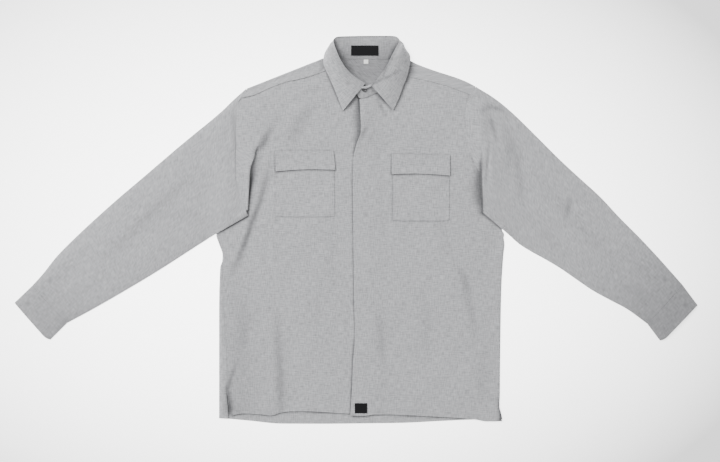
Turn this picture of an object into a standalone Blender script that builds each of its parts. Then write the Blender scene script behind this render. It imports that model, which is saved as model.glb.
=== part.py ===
"""Grey long-sleeved shirt with a pointed collar, laid flat on its back.

Every cloth piece is a thin closed wall round a grid of points halfway through the cloth.
All sizes and tables are in millimetres. The origin lies on the surface under the middle of
the hem-to-collar and cuff-to-cuff box: +X runs to the wearer's left cuff, +Y from the hem to
the collar and +Z up. A piece called left is the wearer's left, at +X.
"""

import math

import bmesh
import bpy
import numpy as np

METRES = 0.001

# driving sizes
CLOTH = 1.0  # wall of one layer
SEAM = 0.3  # gap between two pieces
LAP = CLOTH + 0.35  # from the middle of a layer to the middle of one lying on it
FLOOR_LAYER = CLOTH / 2
PANEL_RISE = 2.6  # middle of the upper layer beside the side folds
PLUMP = 1.5  # how much higher the upper layer is in the middle
CHEST_LEFT, CHEST_RIGHT = -287.0, 303.0
YOKE_SEAM_Y = 250.0
NECK_X, NECK_Y = 20.0, 330.0
FOLD_RADIUS = (PANEL_RISE - FLOOR_LAYER) / 2
HALF_TURN = math.pi * FOLD_RADIUS
UNDER_WRAP = 6.0  # how far the left front reaches under at its side
SLEEVE_CROWN = 4.0
ON_BODY_LIFT = 4.0  # how much a sleeve's underside is raised where it lies on the body
EDGE_EASE = 14.0  # how far off the body's edge the underside comes down to the floor
CUFF_CROWN = 3.4
CUFF_CORNER = 5.5

# outline and seam tables: place, value
OUTLINE_RIGHT_BODY = (  # y, x of the outer fold on the wearer's right
    (-407, -287), (-300, -287), (-166, -287), (-83, -285), (-52, -280), (-10, -293), (28, -285),
)
OUTLINE_LEFT_BODY = (
    (-407, 309), (-355, 303), (-338, 302), (-232, 303), (-126, 305), (-57, 309), (-4, 314), (30, 300),
)
BACK_STRIP = (  # y, width of the back that shows in front on the wearer's right
    (-407, 19), (-385, 19), (-338, 15.5), (-287, 16), (-220, 13), (-161, 9), (-80, 5), (-52, 0),
)
FRONT_SLIT = ((-395, 11), (-384, 9), (-360, 4), (-338, 0))  # y, gap of the hem slit
BACK_ARMHOLE_RIGHT = (
    (-10, -293), (28, -285), (70, -275), (120, -265), (180, -254), (240, -245), (250, -243),
)
BACK_ARMHOLE_LEFT = ((-4, 313), (30, 300), (75, 290), (120, 275), (180, 262), (240, 252), (250, 250))
ARMHOLE_RIGHT = (
    (42, -231), (71, -239), (100, -247), (118, -256), (150, -257), (196, -252), (237, -254),
    (262, -244), (279, -238),
)
ARMHOLE_LEFT = (
    (30, 300), (75, 283), (110, 268), (134, 252), (153, 245), (194, 232), (244, 230), (263, 232),
    (285, 241),
)
BACK_HEM = (
    (-287, -395), (-244, -398), (-212, -402), (-180, -406), (-117, -407), (93, -405), (177, -401),
    (210, -400), (244, -398), (309, -397),
)
RIGHT_FRONT_HEM = (
    (-263, -389), (-225, -384), (-183, -389), (-144, -381), (-117, -380), (-12, -385), (30, -386),
)
LEFT_FRONT_HEM = (
    (-12, -389), (13, -390), (41, -387), (51, -387), (177, -392), (210, -394), (244, -397),
    (278, -402), (304, -401),
)
RIGHT_FRONT_TOP = (  # x, y of the front yoke seam and the neck edge
    (-238, 279), (-209, 286), (-177.5, 301), (-150, 311), (-110, 320), (-75, 331), (-54, 337),
    (-47, 325), (-34, 311), (-13, 293), (5, 283), (30, 281),
)
LEFT_FRONT_TOP = (
    (7.6, 273.5), (22, 279.5), (35, 285.3), (50, 293), (68, 307), (82, 320), (88, 329), (111, 323),
    (138, 317), (172, 309), (210, 297), (234, 287), (241, 285),
)
YOKE_FRONT = (
    (-238, 279), (-209, 286), (-177.5, 301), (-150, 311), (-110, 320), (-75, 331), (-54, 337.6),
    (88, 329.6), (111, 323), (138, 317), (172, 309), (210, 297), (234, 287), (241, 285),
)
YOKE_TOP = (  # x, y of the shoulder folds and of the back neck edge
    (-228, 297), (-223, 299), (-132, 335), (-78, 356), (-62, 361), (-45, 360), (-30, 359.3),
    (25, 359.5), (80, 359), (105, 358), (115, 354), (135, 345), (181, 329), (223, 315), (251, 301),
)
NECK_SHOULDER_RIGHT, NECK_SHOULDER_LEFT = (-62, -54), (105, 90)  # x at the fold, x at the seam
PLACKET_EDGE = (
    (-386, -11.6), (-335, -8.4), (-267, -5.7), (-218, -1.9), (-147, -4), (-55, -5), (63, -6.5),
    (106, -6.9), (146, -5.5), (162, -3.8), (177, 0.2), (190, 6.7), (202, 9.9), (212, 10.7),
    (251, 9), (273, 7.6),
)
OVERLAP_X = 30.0  # hidden edge of the under front
PLACKET_LIFT = ((150, 0), (178, 2.6), (205, 4.0), (245, 3.2), (275, 1.0))  # y, lift of the edge

# the underarm fold of the wearer's right front:
# y, x of the fold's edge, cloth folded under it, rise of the upper layer, lift of its edge
UNDERARM_FOLD = (
    (42, -225, 24, 4.0, 0.5),
    (84, -223, 24, 4.0, 2.2),
    (122, -222, 21, 4.0, 2.6),
    (151, -214, 14, 4.0, 2.0),
    (178, -195, 6, 3.2, 1.0),
    (207, -174, -8, 1.6, 0.0),
    (235, -166, -14, 0.5, 0.0),
    (265, -160, -16, 0.0, 0.0),
    (340, -158, -16, 0.0, 0.0),
)

# largest folds in the fronts: depth, half width, then points of the line
FRONT_FOLDS = (
    (
        -2.0, 11,
        (
            (-187, 116), (-194, 91), (-204, 54), (-215, 26), (-224, -1), (-242, -44), (-252, -72),
            (-263, -97),
        ),
    ),
    (-1.0, 10, ((-248, -278), (-256, -291), (-260, -306), (-266, -325))),
)

# sleeve edges from the cuff seam to the body
SLEEVE_RIGHT_UPPER = (
    (-679, -117), (-646, -80), (-615, -40), (-584, -12), (-525, 43), (-448, 109), (-354, 189),
    (-306, 228), (-271.5, 258), (-246, 283.5), (-230, 296.5),
)
SLEEVE_RIGHT_LOWER = (
    (-606, -195), (-552, -166), (-427, -93), (-295, -9), (-226, 31),
)
SLEEVE_LEFT_UPPER = (
    (685, -115), (637, -61), (595, -16), (557, 22), (504, 78), (449, 127), (410, 165), (365, 210),
    (313, 259), (275, 287), (253, 300.5),
)
SLEEVE_LEFT_LOWER = (
    (612, -197), (600, -188), (581, -173), (557, -159), (504, -131), (421, -75), (344, -30),
    (314, -4), (267, 37),
)
CUFF_RIGHT_END = ((-716.5, -153), (-645.2, -233.9))
CUFF_LEFT_END = ((717, -158), (641.7, -236.2))
SLEEVE_STEPS = (0, 0.05, 0.13, 0.22, 0.32, 0.42, 0.52, 0.61, 0.69, 0.76, 0.83, 0.89, 0.94)
BEND_FROM = 8  # the first step whose underside bends round the underarm
TOP_ROUND = (0, 0.025, 0.08, 0.17, 0.28, 0.4, 0.52, 0.64, 0.76, 0.86, 0.94, 0.98, 1)
UNDER_ROUND = (0.97, 0.92, 0.84, 0.65, 0.45, 0.25, 0.1, 0.035)

# flap pockets: corners of the flap, then the pocket's left, right and bottom, each x or y
POCKETS = {
    "right": {"flap": ((-169, 165), (-47, 166.5), (-43, 126), (-168, 123)), "bag": (-168, -45, 28)},
    "left": {"flap": ((75, 159), (197, 157), (197, 114), (75, 117)), "bag": (78, 195.5, 19.5)},
}
FLAP_BOW = 2.5  # how far the middle of a flap's lower edge is drawn up
POCKET_CORNER = 1.5  # how far a pocket's lower corners are drawn up

# collar: a row for each station round the neck, from the wearer's right front end
# neck seam x y z | roll line x y z | middle of the leaf x y z | leaf edge x y z | turn, bow
COLLAR = (
    (22, 282.8, 3.0, 20, 307, 10.5, -3.5, 278.5, 11.0, -27, 250, 5.6, 0, -2.2),
    (5, 284.5, 3.6, 8, 314, 14.0, -15, 294, 12.5, -36.5, 274, 5.6, 0, -0.5),
    (-13.5, 293.0, 4.1, -5, 323, 17, -26, 311, 14.5, -46, 298, 5.6, 0, 0),
    (-34.5, 311, 4.1, -20, 337.5, 20, -40, 333, 17.5, -58.5, 326, 6.0, 0, 0),
    (-54.5, 337, 5.4, -33, 358, 21, -53, 354.5, 17.5, -68, 350, 6.5, 0, 0),
    (-58, 351, 4.8, -42, 379, 16.5, -61, 373, 12.5, -66.5, 367.5, 4.0, 0.15, 0),
    (-50, 359.5, 2.3, -47, 396, 9.0, -56, 386, 6.0, -56, 374, 1.0, 0.4, 0),
    (-37, 359.3, 1.9, -38.5, 404.3, 4.0, -44, 392, 1.6, -42, 370, 0.6, 0.8, 0),
    (-18, 359.2, 1.85, -20, 405, 2.1, -20, 386, 0.5, -20, 368, 0.5, 1, 0),
    (25, 359.2, 1.85, 25, 405.8, 1.9, 25, 386, 0.5, 25, 368, 0.5, 1, 0),
    (68, 359, 1.85, 70, 405.8, 2.1, 70, 386, 0.5, 70, 368, 0.5, 1, 0),
    (86, 358.8, 1.95, 84, 404.6, 4.0, 89, 392, 1.6, 88, 371, 0.6, 0.8, 0),
    (96, 358.5, 2.5, 91, 395.6, 9.5, 101, 387, 7.5, 100, 376, 1.2, 0.35, 0),
    (102, 350, 4.9, 83, 382, 16.5, 99, 380, 14.5, 111.5, 370, 4.6, 0.1, 0),
    (98, 339, 5.5, 71.6, 364, 21, 95, 363, 18.5, 114, 357, 8.0, 0, 0),
    (87, 323.5, 5.4, 63, 345, 20, 87, 336, 17.5, 107.5, 324, 8.0, 0, 0),
    (69, 306, 5.4, 55, 330, 17, 79, 317, 15.0, 99, 302, 7.5, 0, 0),
    (51, 292, 5.4, 46, 317, 15, 70, 298, 13.0, 90, 277, 7.0, 0, 0),
    (36, 284.6, 5.4, 31.5, 303.5, 12, 55, 277, 11.5, 78, 251, 6.6, 0, 0),
)
TAB = (  # the stand goes on into its front tab
    (22, 278.6, 6.0, 22, 300.5, 9.8),
    (10.5, 275.6, 6.0, 11.5, 298, 9.6),
    (5.4, 278.5, 5.9, 5.8, 294, 9.0),
    (2.9, 283, 6.8, 3.1, 289, 8.0),
)
BUTTON_X, BUTTON_Y = 17.5, 294.5
TAB_HEIGHT = 9.2  # middle of the tab under the button
BUTTON_RADIUS, BUTTON_THICK, BUTTON_TILT = 5.2, 1.8, math.radians(10)
STAND_STEPS = (0, 0.12, 0.5, 0.97)
LEAF_STEPS = (0, 0.35, 0.7, 1)  # from the turn to the leaf's edge

# labels: x from, x to, y from, y to
NECK_LABEL = (-10, 47, 366, 387)
SIZE_LABEL = (16.6, 26, 349, 357.6)
HEM_TAG = (-2.5, 23.5, -384, -363)
LABEL_THICK = 0.6
STAND_HEIGHT = 2.1  # middle of the stand under the neck label

# rows of the fronts and the back: shares up to the slit, then y, then shares up to the top
HEM_SHARES = (0, 0.35, 0.7)
SLIT_Y = -338
BODY_Y = (
    -338, -310, -275, -240, -205, -170, -135, -105, -78, -52, -30, -10, 10, 28, 42, 56, 71, 90, 110,
    130, 151, 178, 207,
)
LAST_BODY_Y = BODY_Y[-1]
TOP_SHARES = (0.25, 0.5, 0.75, 1)
STRIP_ROW = len(HEM_SHARES) + BODY_Y.index(42)  # the folded-over cloth starts here

# stations across the yoke, and those at the two sides of the neck
YOKE_STATIONS = (
    0, 0.04, 0.1, 0.17, 0.24, 0.3, 0.35, 0.45, 0.58, 0.695, 0.74, 0.79, 0.85, 0.91, 0.96, 1,
)
NECK_FIRST, NECK_LAST = 6, 9

CLOTH_GREY = (0.45, 0.455, 0.47, 1)
LABEL_BLACK = (0.02, 0.02, 0.022, 1)
LABEL_WHITE = (0.8, 0.8, 0.78, 1)
BUTTON_DARK = (0.03, 0.03, 0.032, 1)


def smoothstep(value):
    value = np.clip(value, 0, 1)
    return value * value * (3 - 2 * value)


def blend(first, second, share):
    return first + (second - first) * share


def steady_curve(places, values, at):
    """A smooth curve through the values that never swings past them."""
    rise = np.diff(values) / np.diff(places)
    slopes = np.empty(len(values))
    slopes[0], slopes[-1] = rise[0], rise[-1]
    before, after = rise[:-1], rise[1:]
    total = before + after
    same = before * after > 0
    slopes[1:-1] = np.where(same, 2 * before * after / np.where(same, total, 1), 0)
    at = np.clip(at, places[0], places[-1])
    row = np.clip(np.searchsorted(places, at) - 1, 0, len(places) - 2)
    step = places[row + 1] - places[row]
    s = (at - places[row]) / step
    start = (1 + 2 * s) * (1 - s) ** 2 * values[row] + s * (1 - s) ** 2 * step * slopes[row]
    end = s * s * (3 - 2 * s) * values[row + 1] + s * s * (s - 1) * step * slopes[row + 1]
    return start + end


def read(table, at, column=1):
    rows = np.array(table, float)
    return steady_curve(rows[:, 0], rows[:, column], np.asarray(at, float))


def along(points, shares):
    """Points at these shares of a line's length."""
    points = np.array(points, float)
    lengths = np.linalg.norm(np.diff(points, axis=0), axis=1)
    places = np.concatenate([[0], np.cumsum(lengths)]) / lengths.sum()
    shares = np.asarray(shares, float)
    return np.stack([steady_curve(places, points[:, i], shares) for i in range(points.shape[1])], -1)


def distance_to(line, x, y):
    """Distance from each place to a line, and the share of its length at the nearest point."""
    line = np.array(line, float)
    lengths = np.linalg.norm(np.diff(line, axis=0), axis=1)
    starts = np.concatenate([[0], np.cumsum(lengths)]) / lengths.sum()
    best = np.full(np.shape(x), 1e9)
    share = np.zeros(np.shape(x))
    for number, length in enumerate(lengths):
        (ax, ay), (bx, by) = line[number], line[number + 1]
        along_it = ((x - ax) * (bx - ax) + (y - ay) * (by - ay)) / length**2
        along_it = np.clip(along_it, 0, 1)
        away = np.hypot(x - ax - along_it * (bx - ax), y - ay - along_it * (by - ay))
        nearer = away < best
        best = np.where(nearer, away, best)
        share = np.where(nearer, blend(starts[number], starts[number + 1], along_it), share)
    return best, share


def fold_height(x, y, folds):
    """Height of soft folds, each fading out at both ends."""
    height = np.zeros(np.shape(x))
    for depth, width, line in folds:
        away, share = distance_to(line, x, y)
        fade = np.sqrt(np.clip(np.sin(math.pi * np.clip(share, 0.02, 0.98)), 0, 1))
        height = height + depth * fade * np.exp(-((away / width) ** 2))
    return height


def front_height(x, y):
    """Middle of the upper layer of the body, from its place."""
    sides = smoothstep((x - CHEST_LEFT) / 90) * smoothstep((CHEST_RIGHT - x) / 90)
    ends = smoothstep((y + 400) / 80) * smoothstep((read(YOKE_TOP, x) - y) / 60)
    neck = smoothstep((np.hypot(x - NECK_X, y - NECK_Y) - 60) / 60)
    return PANEL_RISE + PLUMP * sides * ends * neck + np.maximum(
        fold_height(x, y, FRONT_FOLDS) * sides**0.3, FLOOR_LAYER + LAP - PANEL_RISE
    )


def lap_height(x, y):
    """How much the left front is raised over the right front, with its lifted edge."""
    over = LAP * (1 - smoothstep((x - 36) / 24))
    lift = read(PLACKET_LIFT, y) * (y > PLACKET_LIFT[0][0])
    return over + lift * (1 - smoothstep((x - read(PLACKET_EDGE, y)) / 34))


def left_front_height(x, y):
    return front_height(x, y) + lap_height(x, y)


def mesh_object(name, points, faces, material):
    mesh = bpy.data.meshes.new(name)
    mesh.from_pydata([tuple(point) for point in np.asarray(points) * METRES], [], faces)
    build = bmesh.new()
    build.from_mesh(mesh)
    bmesh.ops.recalc_face_normals(build, faces=build.faces)
    build.to_mesh(mesh)
    build.free()
    mesh.shade_smooth()
    mesh.set_sharp_from_angle(angle=math.radians(40))
    mesh.materials.append(material)
    piece = bpy.data.objects.new(name, mesh)
    bpy.context.scene.collection.objects.link(piece)
    return piece


def wall(name, grid, material, keep=None, ring=False, thickness=CLOTH):
    """Closed wall round a grid of mid-layer points; keep says which cells have cloth."""
    rows, columns = grid.shape[:2]
    cells = columns if ring else columns - 1
    if keep is None:
        keep = np.ones((rows - 1, cells), bool)
    corners = []
    for r in range(rows - 1):
        for c in range(cells):
            if keep[r, c]:
                d = (c + 1) % columns
                near, far = r * columns, (r + 1) * columns
                corners.append((near + c, near + d, far + d, far + c))
    flat = grid.reshape(-1, 3)
    normals = np.zeros_like(flat)
    for a, b, c, d in corners:
        across = np.cross(flat[c] - flat[a], flat[d] - flat[b])
        across /= np.linalg.norm(across)
        for corner in (a, b, c, d):
            normals[corner] += across
    used = sorted({corner for cell in corners for corner in cell})
    place = {corner: number for number, corner in enumerate(used)}
    normals = normals[used] / np.linalg.norm(normals[used], axis=1)[:, None]
    upper = flat[used] + normals * thickness / 2
    lower = flat[used] - normals * thickness / 2
    points = np.concatenate([upper, lower])
    points[:, 2] = np.maximum(points[:, 2], 0)
    count = len(used)
    faces = []
    edges = set()
    for cell in corners:
        a, b, c, d = (place[corner] for corner in cell)
        faces.append((a, b, c, d))
        faces.append((count + d, count + c, count + b, count + a))
        edges.update(((a, b), (b, c), (c, d), (d, a)))
    for a, b in edges:
        if (b, a) not in edges:
            faces.append((b, a, count + a, count + b))
    return mesh_object(name, points, faces, material)


def new_material(name, colour, roughness, metallic=0.0):
    material = bpy.data.materials.new(name)
    material.use_nodes = True
    shader = material.node_tree.nodes["Principled BSDF"]
    shader.inputs["Base Color"].default_value = colour
    shader.inputs["Roughness"].default_value = roughness
    shader.inputs["Metallic"].default_value = metallic
    return material


def body_rows(hem, top, hem_x, top_x):
    """y of each row and column, from the hem's and the top's curve."""
    low = [blend(read(hem, hem_x), SLIT_Y, share) for share in HEM_SHARES]
    middle = [np.full(np.shape(hem_x), float(y)) for y in BODY_Y]
    high = [blend(LAST_BODY_Y, read(top, top_x), share) for share in TOP_SHARES]
    return np.array(low + middle + high)


def turned(outline, inward, lengths, low=FLOOR_LAYER, high=PANEL_RISE):
    """Places along cloth that turns over a side fold, by the length from the fold's start.

    inward is +1 where the body lies at +X of the fold. A length under 0 is on the floor."""
    radius = (high - low) / 2
    angle = np.clip(lengths / radius, 0, math.pi)
    flat = np.maximum(-lengths, 0) + np.maximum(lengths - math.pi * radius, 0)
    x = outline + inward * (radius - radius * np.sin(angle) + flat)
    z = low + radius - radius * np.cos(angle)
    return x, z


def right_front_grid():
    """Wearer's right front, with the fold of cloth beside the underarm."""
    main = np.array([0, 0.07, 0.15, 0.24, 0.33, 0.42, 0.51, 0.60, 0.69, 0.78, 0.88, 1])
    edge_count, fold_count, strip_count = 4, 5, 3
    columns = len(main) + edge_count + fold_count + strip_count

    def section(y):
        """x and z of every column at its own y."""
        fold_x, depth, rise, lift = (read(UNDERARM_FOLD, y, column) for column in (1, 2, 3, 4))
        width = read(BACK_STRIP, y)
        outline = read(OUTLINE_RIGHT_BODY, y)
        hidden = blend(outline, -249, smoothstep((y + 10) / 52))
        open_slit = read(FRONT_SLIT, y)
        x = np.zeros((len(y), columns))
        z = np.zeros((len(y), columns))
        below = smoothstep((42 - y) / 14)  # 1 where the side seam is, 0 in the folded rows
        edge_shift = np.array([15, 9, 4.5, 0])
        on_strip = smoothstep(width / 5)
        for number, shift in enumerate(edge_shift):
            c = len(main) + number
            seam_side = outline + width + open_slit + SEAM / 2 + shift
            length = HALF_TURN / 2 + 2 * SEAM + shift * (HALF_TURN / 2 + 4) / 15
            turned_x, turned_z = turned(outline, 1, length + 0 * y)
            side_x = blend(turned_x, seam_side, on_strip)
            side_z = blend(turned_z, PANEL_RISE, on_strip) - PANEL_RISE
            free = smoothstep((y + 10) / 30)
            side_x = blend(side_x, hidden + shift, free)
            side_z = blend(side_z, 0, free)
            under = np.array([2, -0.35, -0.72, -1])[number]
            fold_side = fold_x + np.where(under > 0, under, under * np.maximum(depth, 0))
            ramp = fold_x + 8 - 3 * number
            state = smoothstep((depth + 2) / 8)
            fold_side = blend(ramp, fold_side, state)
            fold_z = (1 - state) * rise * smoothstep(number / 8)
            x[:, c] = blend(fold_side, side_x, below)
            z[:, c] = blend(fold_z, side_z, below)
        state = smoothstep((depth + 2) / 8)
        folded = np.array(
            [
                (fold_x - depth - 0.7, 0.7 + 0 * y),
                (fold_x - depth, 1.4 + 0 * y),
                (fold_x - 1.2, rise + lift - 1.5),
                (fold_x + 0.6, rise + lift - 0.7),
                (fold_x - 0.4, rise + lift),
            ]
        )
        for number in range(fold_count):
            c = len(main) + edge_count + number
            ramp = fold_x + 8 - 3 * (edge_count + number)
            x[:, c] = blend(ramp, folded[number, 0], state)
            z[:, c] = blend(rise * smoothstep((edge_count + number) / 8), folded[number, 1], state)
        start = x[:, len(main) + edge_count + fold_count - 1]
        seam = read(ARMHOLE_RIGHT, y)
        for number, share in enumerate((0.3, 0.65, 1)):
            c = columns - strip_count + number
            x[:, c] = blend(start, seam, share)
            z[:, c] = rise + lift * (1 - share) ** 2
        last = x[:, len(main)] + 6
        for number, share in enumerate(main):
            x[:, number] = blend(OVERLAP_X, last, share)
        return x, z

    hem_x = section(np.full(1, -385.0))[0][0]
    top_x = section(np.full(1, 300.0))[0][0]
    y = body_rows(RIGHT_FRONT_HEM, RIGHT_FRONT_TOP, hem_x, top_x)
    x = np.zeros_like(y)
    z = np.zeros_like(y)
    for c in range(columns):
        column_x, column_z = section(y[:, c])
        x[:, c], z[:, c] = column_x[:, c], column_z[:, c]
    z += front_height(x, y)
    side = len(main) + edge_count
    seam_rows = slice(0, len(HEM_SHARES) + BODY_Y.index(-52) + 1)
    z[seam_rows, side - 2 : side] = np.minimum(z[seam_rows, side - 2 : side], PANEL_RISE)
    keep = np.ones((len(y) - 1, columns - 1), bool)
    keep[:STRIP_ROW, side - 1 :] = False
    return np.stack([x, y, z], -1), keep


def left_front_grid():
    """Wearer's left front: placket edge, overlap, and a side that wraps under."""
    main = np.array([0, 0.025, 0.06, 0.11, 0.17, 0.25, 0.34, 0.43, 0.52, 0.61, 0.7, 0.79, 0.87, 0.94, 1])
    edge_count = 5
    columns = len(main) + edge_count
    wrapped_at = np.array([HALF_TURN + 6, HALF_TURN, HALF_TURN / 2, 0, -UNDER_WRAP])
    flat_at = np.array([9, 6.5, 4, 2, SEAM / 2])

    def section(y):
        outline = read(OUTLINE_LEFT_BODY, y)
        free_edge = np.where(y > 0, read(ARMHOLE_LEFT, y), outline - 2.5 + smoothstep((-380 - y) / 20))
        wrap = smoothstep((y + 366) / 14) * (1 - smoothstep((y + 34) / 26))
        x = np.zeros((len(y), columns))
        drop = np.zeros((len(y), columns))
        for number in range(edge_count):
            c = len(main) + number
            turned_x, turned_z = turned(outline, -1, wrapped_at[number] + 0 * y)
            x[:, c] = blend(free_edge - flat_at[number], turned_x, wrap)
            drop[:, c] = blend(0, turned_z - PANEL_RISE, wrap)
        start = read(PLACKET_EDGE, y)
        for number, share in enumerate(main):
            x[:, number] = blend(start, x[:, len(main)] - 6, share)
        return x, drop

    hem_x = section(np.full(1, -390.0))[0][0]
    top_x = section(np.full(1, 280.0))[0][0]
    y = body_rows(LEFT_FRONT_HEM, LEFT_FRONT_TOP, hem_x, top_x)
    x = np.zeros_like(y)
    z = np.zeros_like(y)
    for c in range(columns):
        column_x, column_drop = section(y[:, c])
        x[:, c], z[:, c] = column_x[:, c], column_drop[:, c]
    height = left_front_height(x, y)
    side = slice(len(main) + 1, None)
    height[:, side] = np.where(z[:, side] < -0.01, PANEL_RISE, height[:, side])
    return np.stack([x, y, z + height], -1)


def back_grid():
    """Back panel on the floor, wrapping over to the front on the wearer's right."""
    inner = np.array([0.02, 0.1, 0.22, 0.36, 0.5, 0.64, 0.78, 0.9, 0.98])
    columns = 5 + len(inner) + 1

    def section(y):
        outline = read(OUTLINE_RIGHT_BODY, y)
        width = read(BACK_STRIP, y)
        on_strip = smoothstep(width / 5)
        armhole = smoothstep((y + 10) / 30)
        seam_at = HALF_TURN + np.maximum(width - FOLD_RADIUS, 0) - SEAM / 2
        middle = blend(HALF_TURN, seam_at, 0.5)
        with_strip = [seam_at, middle, HALF_TURN + 0 * y, HALF_TURN / 2 + 0 * y, 0 * y]
        without = [HALF_TURN / 2 - 2 * SEAM, 0.3, -2, -5, -9]
        x = np.zeros((len(y), columns))
        z = np.zeros((len(y), columns))
        for number in range(5):
            length = blend(without[number], with_strip[number], on_strip)
            side_x, side_z = turned(outline, 1, length)
            flat_x = read(BACK_ARMHOLE_RIGHT, y) + (0, 2.5, 5, 7.5, 10)[number]
            x[:, number] = blend(side_x, flat_x, armhole)
            z[:, number] = blend(side_z, FLOOR_LAYER, armhole)
        wrapped = read(OUTLINE_LEFT_BODY, y) - FOLD_RADIUS - UNDER_WRAP - SEAM
        slit = read(OUTLINE_LEFT_BODY, y)
        right = blend(slit, wrapped, smoothstep((y + 382) / 14))
        right = blend(right, read(BACK_ARMHOLE_LEFT, y), smoothstep((y + 8) / 18))
        for number, share in enumerate(inner):
            x[:, 5 + number] = blend(x[:, 4], right, share)
            z[:, 5 + number] = FLOOR_LAYER
        x[:, -1] = right
        z[:, -1] = FLOOR_LAYER
        return x, z

    hem_x = section(np.full(1, -395.0))[0][0]
    y = body_rows(BACK_HEM, ((-300, YOKE_SEAM_Y), (300, YOKE_SEAM_Y)), hem_x, hem_x)
    x = np.zeros_like(y)
    z = np.zeros_like(y)
    for c in range(columns):
        column_x, column_z = section(y[:, c])
        x[:, c], z[:, c] = column_x[:, c], column_z[:, c]
    return np.stack([x, y, z], -1)


def yoke_grid():
    """Yoke: from the back seam up, over the shoulder folds and down to the front seams."""
    right_end = np.array([-242.5, -240, -235, -230, -228.5, -228.3, -228.5, -231, -234, -237.5])
    left_end = np.array([249.5, 250, 251, 251, 250.8, 250.6, 250.6, 248, 244, 240.5])
    up_back = np.array([0, 0.35, 0.75, 0.96, 1])
    stations = np.array(YOKE_STATIONS)
    neck_columns = np.array([0, 0.2, 0.4, 0.6, 1, 1, 1, 0.67, 0.33, 0])
    right_neck = blend(NECK_SHOULDER_RIGHT[1], NECK_SHOULDER_RIGHT[0], neck_columns)
    left_neck = blend(NECK_SHOULDER_LEFT[1], NECK_SHOULDER_LEFT[0], neck_columns)
    right_neck[:5], left_neck[:5] = NECK_SHOULDER_RIGHT[0], NECK_SHOULDER_LEFT[0]
    marks = stations[[0, NECK_FIRST, NECK_LAST, -1]]
    grid = np.zeros((len(stations), 10, 3))
    for c in range(10):
        x = np.interp(stations, marks, [right_end[c], right_neck[c], left_neck[c], left_end[c]])
        fold = read(YOKE_TOP, x)
        seam = read(YOKE_FRONT, x)
        if c < 5:
            beside_neck = (x < right_neck[c] + 0.1) | (x > left_neck[c] - 0.1)
            end = fold - np.where(beside_neck, FOLD_RADIUS, 0)
            y = blend(YOKE_SEAM_Y + SEAM, end, up_back[c])
            z = np.full(len(x), FLOOR_LAYER)
        elif c == 5:
            y = fold
            z = np.full(len(x), FLOOR_LAYER + FOLD_RADIUS)
        else:
            share = (0, 0.33, 0.67, 1)[c - 6]
            y = blend(fold - FOLD_RADIUS, seam - 1.5, share)
            z = front_height(x, y) + (0, 0, 0.6, 1)[c - 6] * LAP
        grid[:, c] = np.stack([x, y, z], -1)
    keep = np.ones((len(stations) - 1, 9), bool)
    keep[NECK_FIRST:NECK_LAST, 4:] = False
    return grid, keep


def crown(shares, height):
    """Rounded upper half of a flattened tube."""
    return FLOOR_LAYER + height * (1 - np.abs(2 * np.asarray(shares) - 1) ** 2.6) ** 0.55


def sleeve_station(upper, lower, lift, under_lift, under_xy=None, height=SLEEVE_CROWN):
    """One loop of a sleeve: over the top from its upper edge, back underneath."""
    top_shares, under_shares = np.array(TOP_ROUND), np.array(UNDER_ROUND)
    top_xy = blend(upper, lower, top_shares[:, None])
    if under_xy is None:
        under_xy = blend(upper, lower, under_shares[:, None])
    top_z = crown(top_shares, height) + lift(top_xy[:, 0], top_xy[:, 1])
    under_z = FLOOR_LAYER + under_lift(under_xy[:, 0], under_xy[:, 1])
    top_z[0] = FLOOR_LAYER + 0.7
    top_z[-1] = FLOOR_LAYER + 0.7 + under_lift(*lower)
    top = np.concatenate([top_xy, top_z[:, None]], 1)
    under = np.concatenate([under_xy, under_z[:, None]], 1)
    return np.concatenate([top, under])


def sleeve_loops(upper_edge, lower_edge, lift, under_lift, last_under):
    """Loops from the cuff seam up, the last ones bending round the underarm."""
    uppers, lowers = along(upper_edge, SLEEVE_STEPS), along(lower_edge, SLEEVE_STEPS)
    shares = np.array(UNDER_ROUND)[:, None]
    straight = blend(uppers[BEND_FROM], lowers[BEND_FROM], shares)
    bent = along(last_under, 1 - shares[:, 0])[:, :2]
    ends = np.array(last_under, float)[:, :2]
    loops = []
    for number, (upper, lower) in enumerate(zip(uppers, lowers)):
        under_xy = None
        if number > BEND_FROM:
            share = (len(uppers) - number) / (len(uppers) - BEND_FROM)
            under_xy = blend(bent, straight, share)
            under_xy += (lower - blend(ends[0], lowers[BEND_FROM], share)) * shares**4
            under_xy += (upper - blend(ends[-1], uppers[BEND_FROM], share)) * (1 - shares) ** 4
        loops.append(sleeve_station(upper, lower, lift, under_lift, under_xy))
    return loops


def end_station(top_line, under_line):
    """The loop of a sleeve's armhole, from two lines of points."""
    return np.concatenate([along(top_line, TOP_ROUND), along(under_line, 1 - np.array(UNDER_ROUND))])


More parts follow.
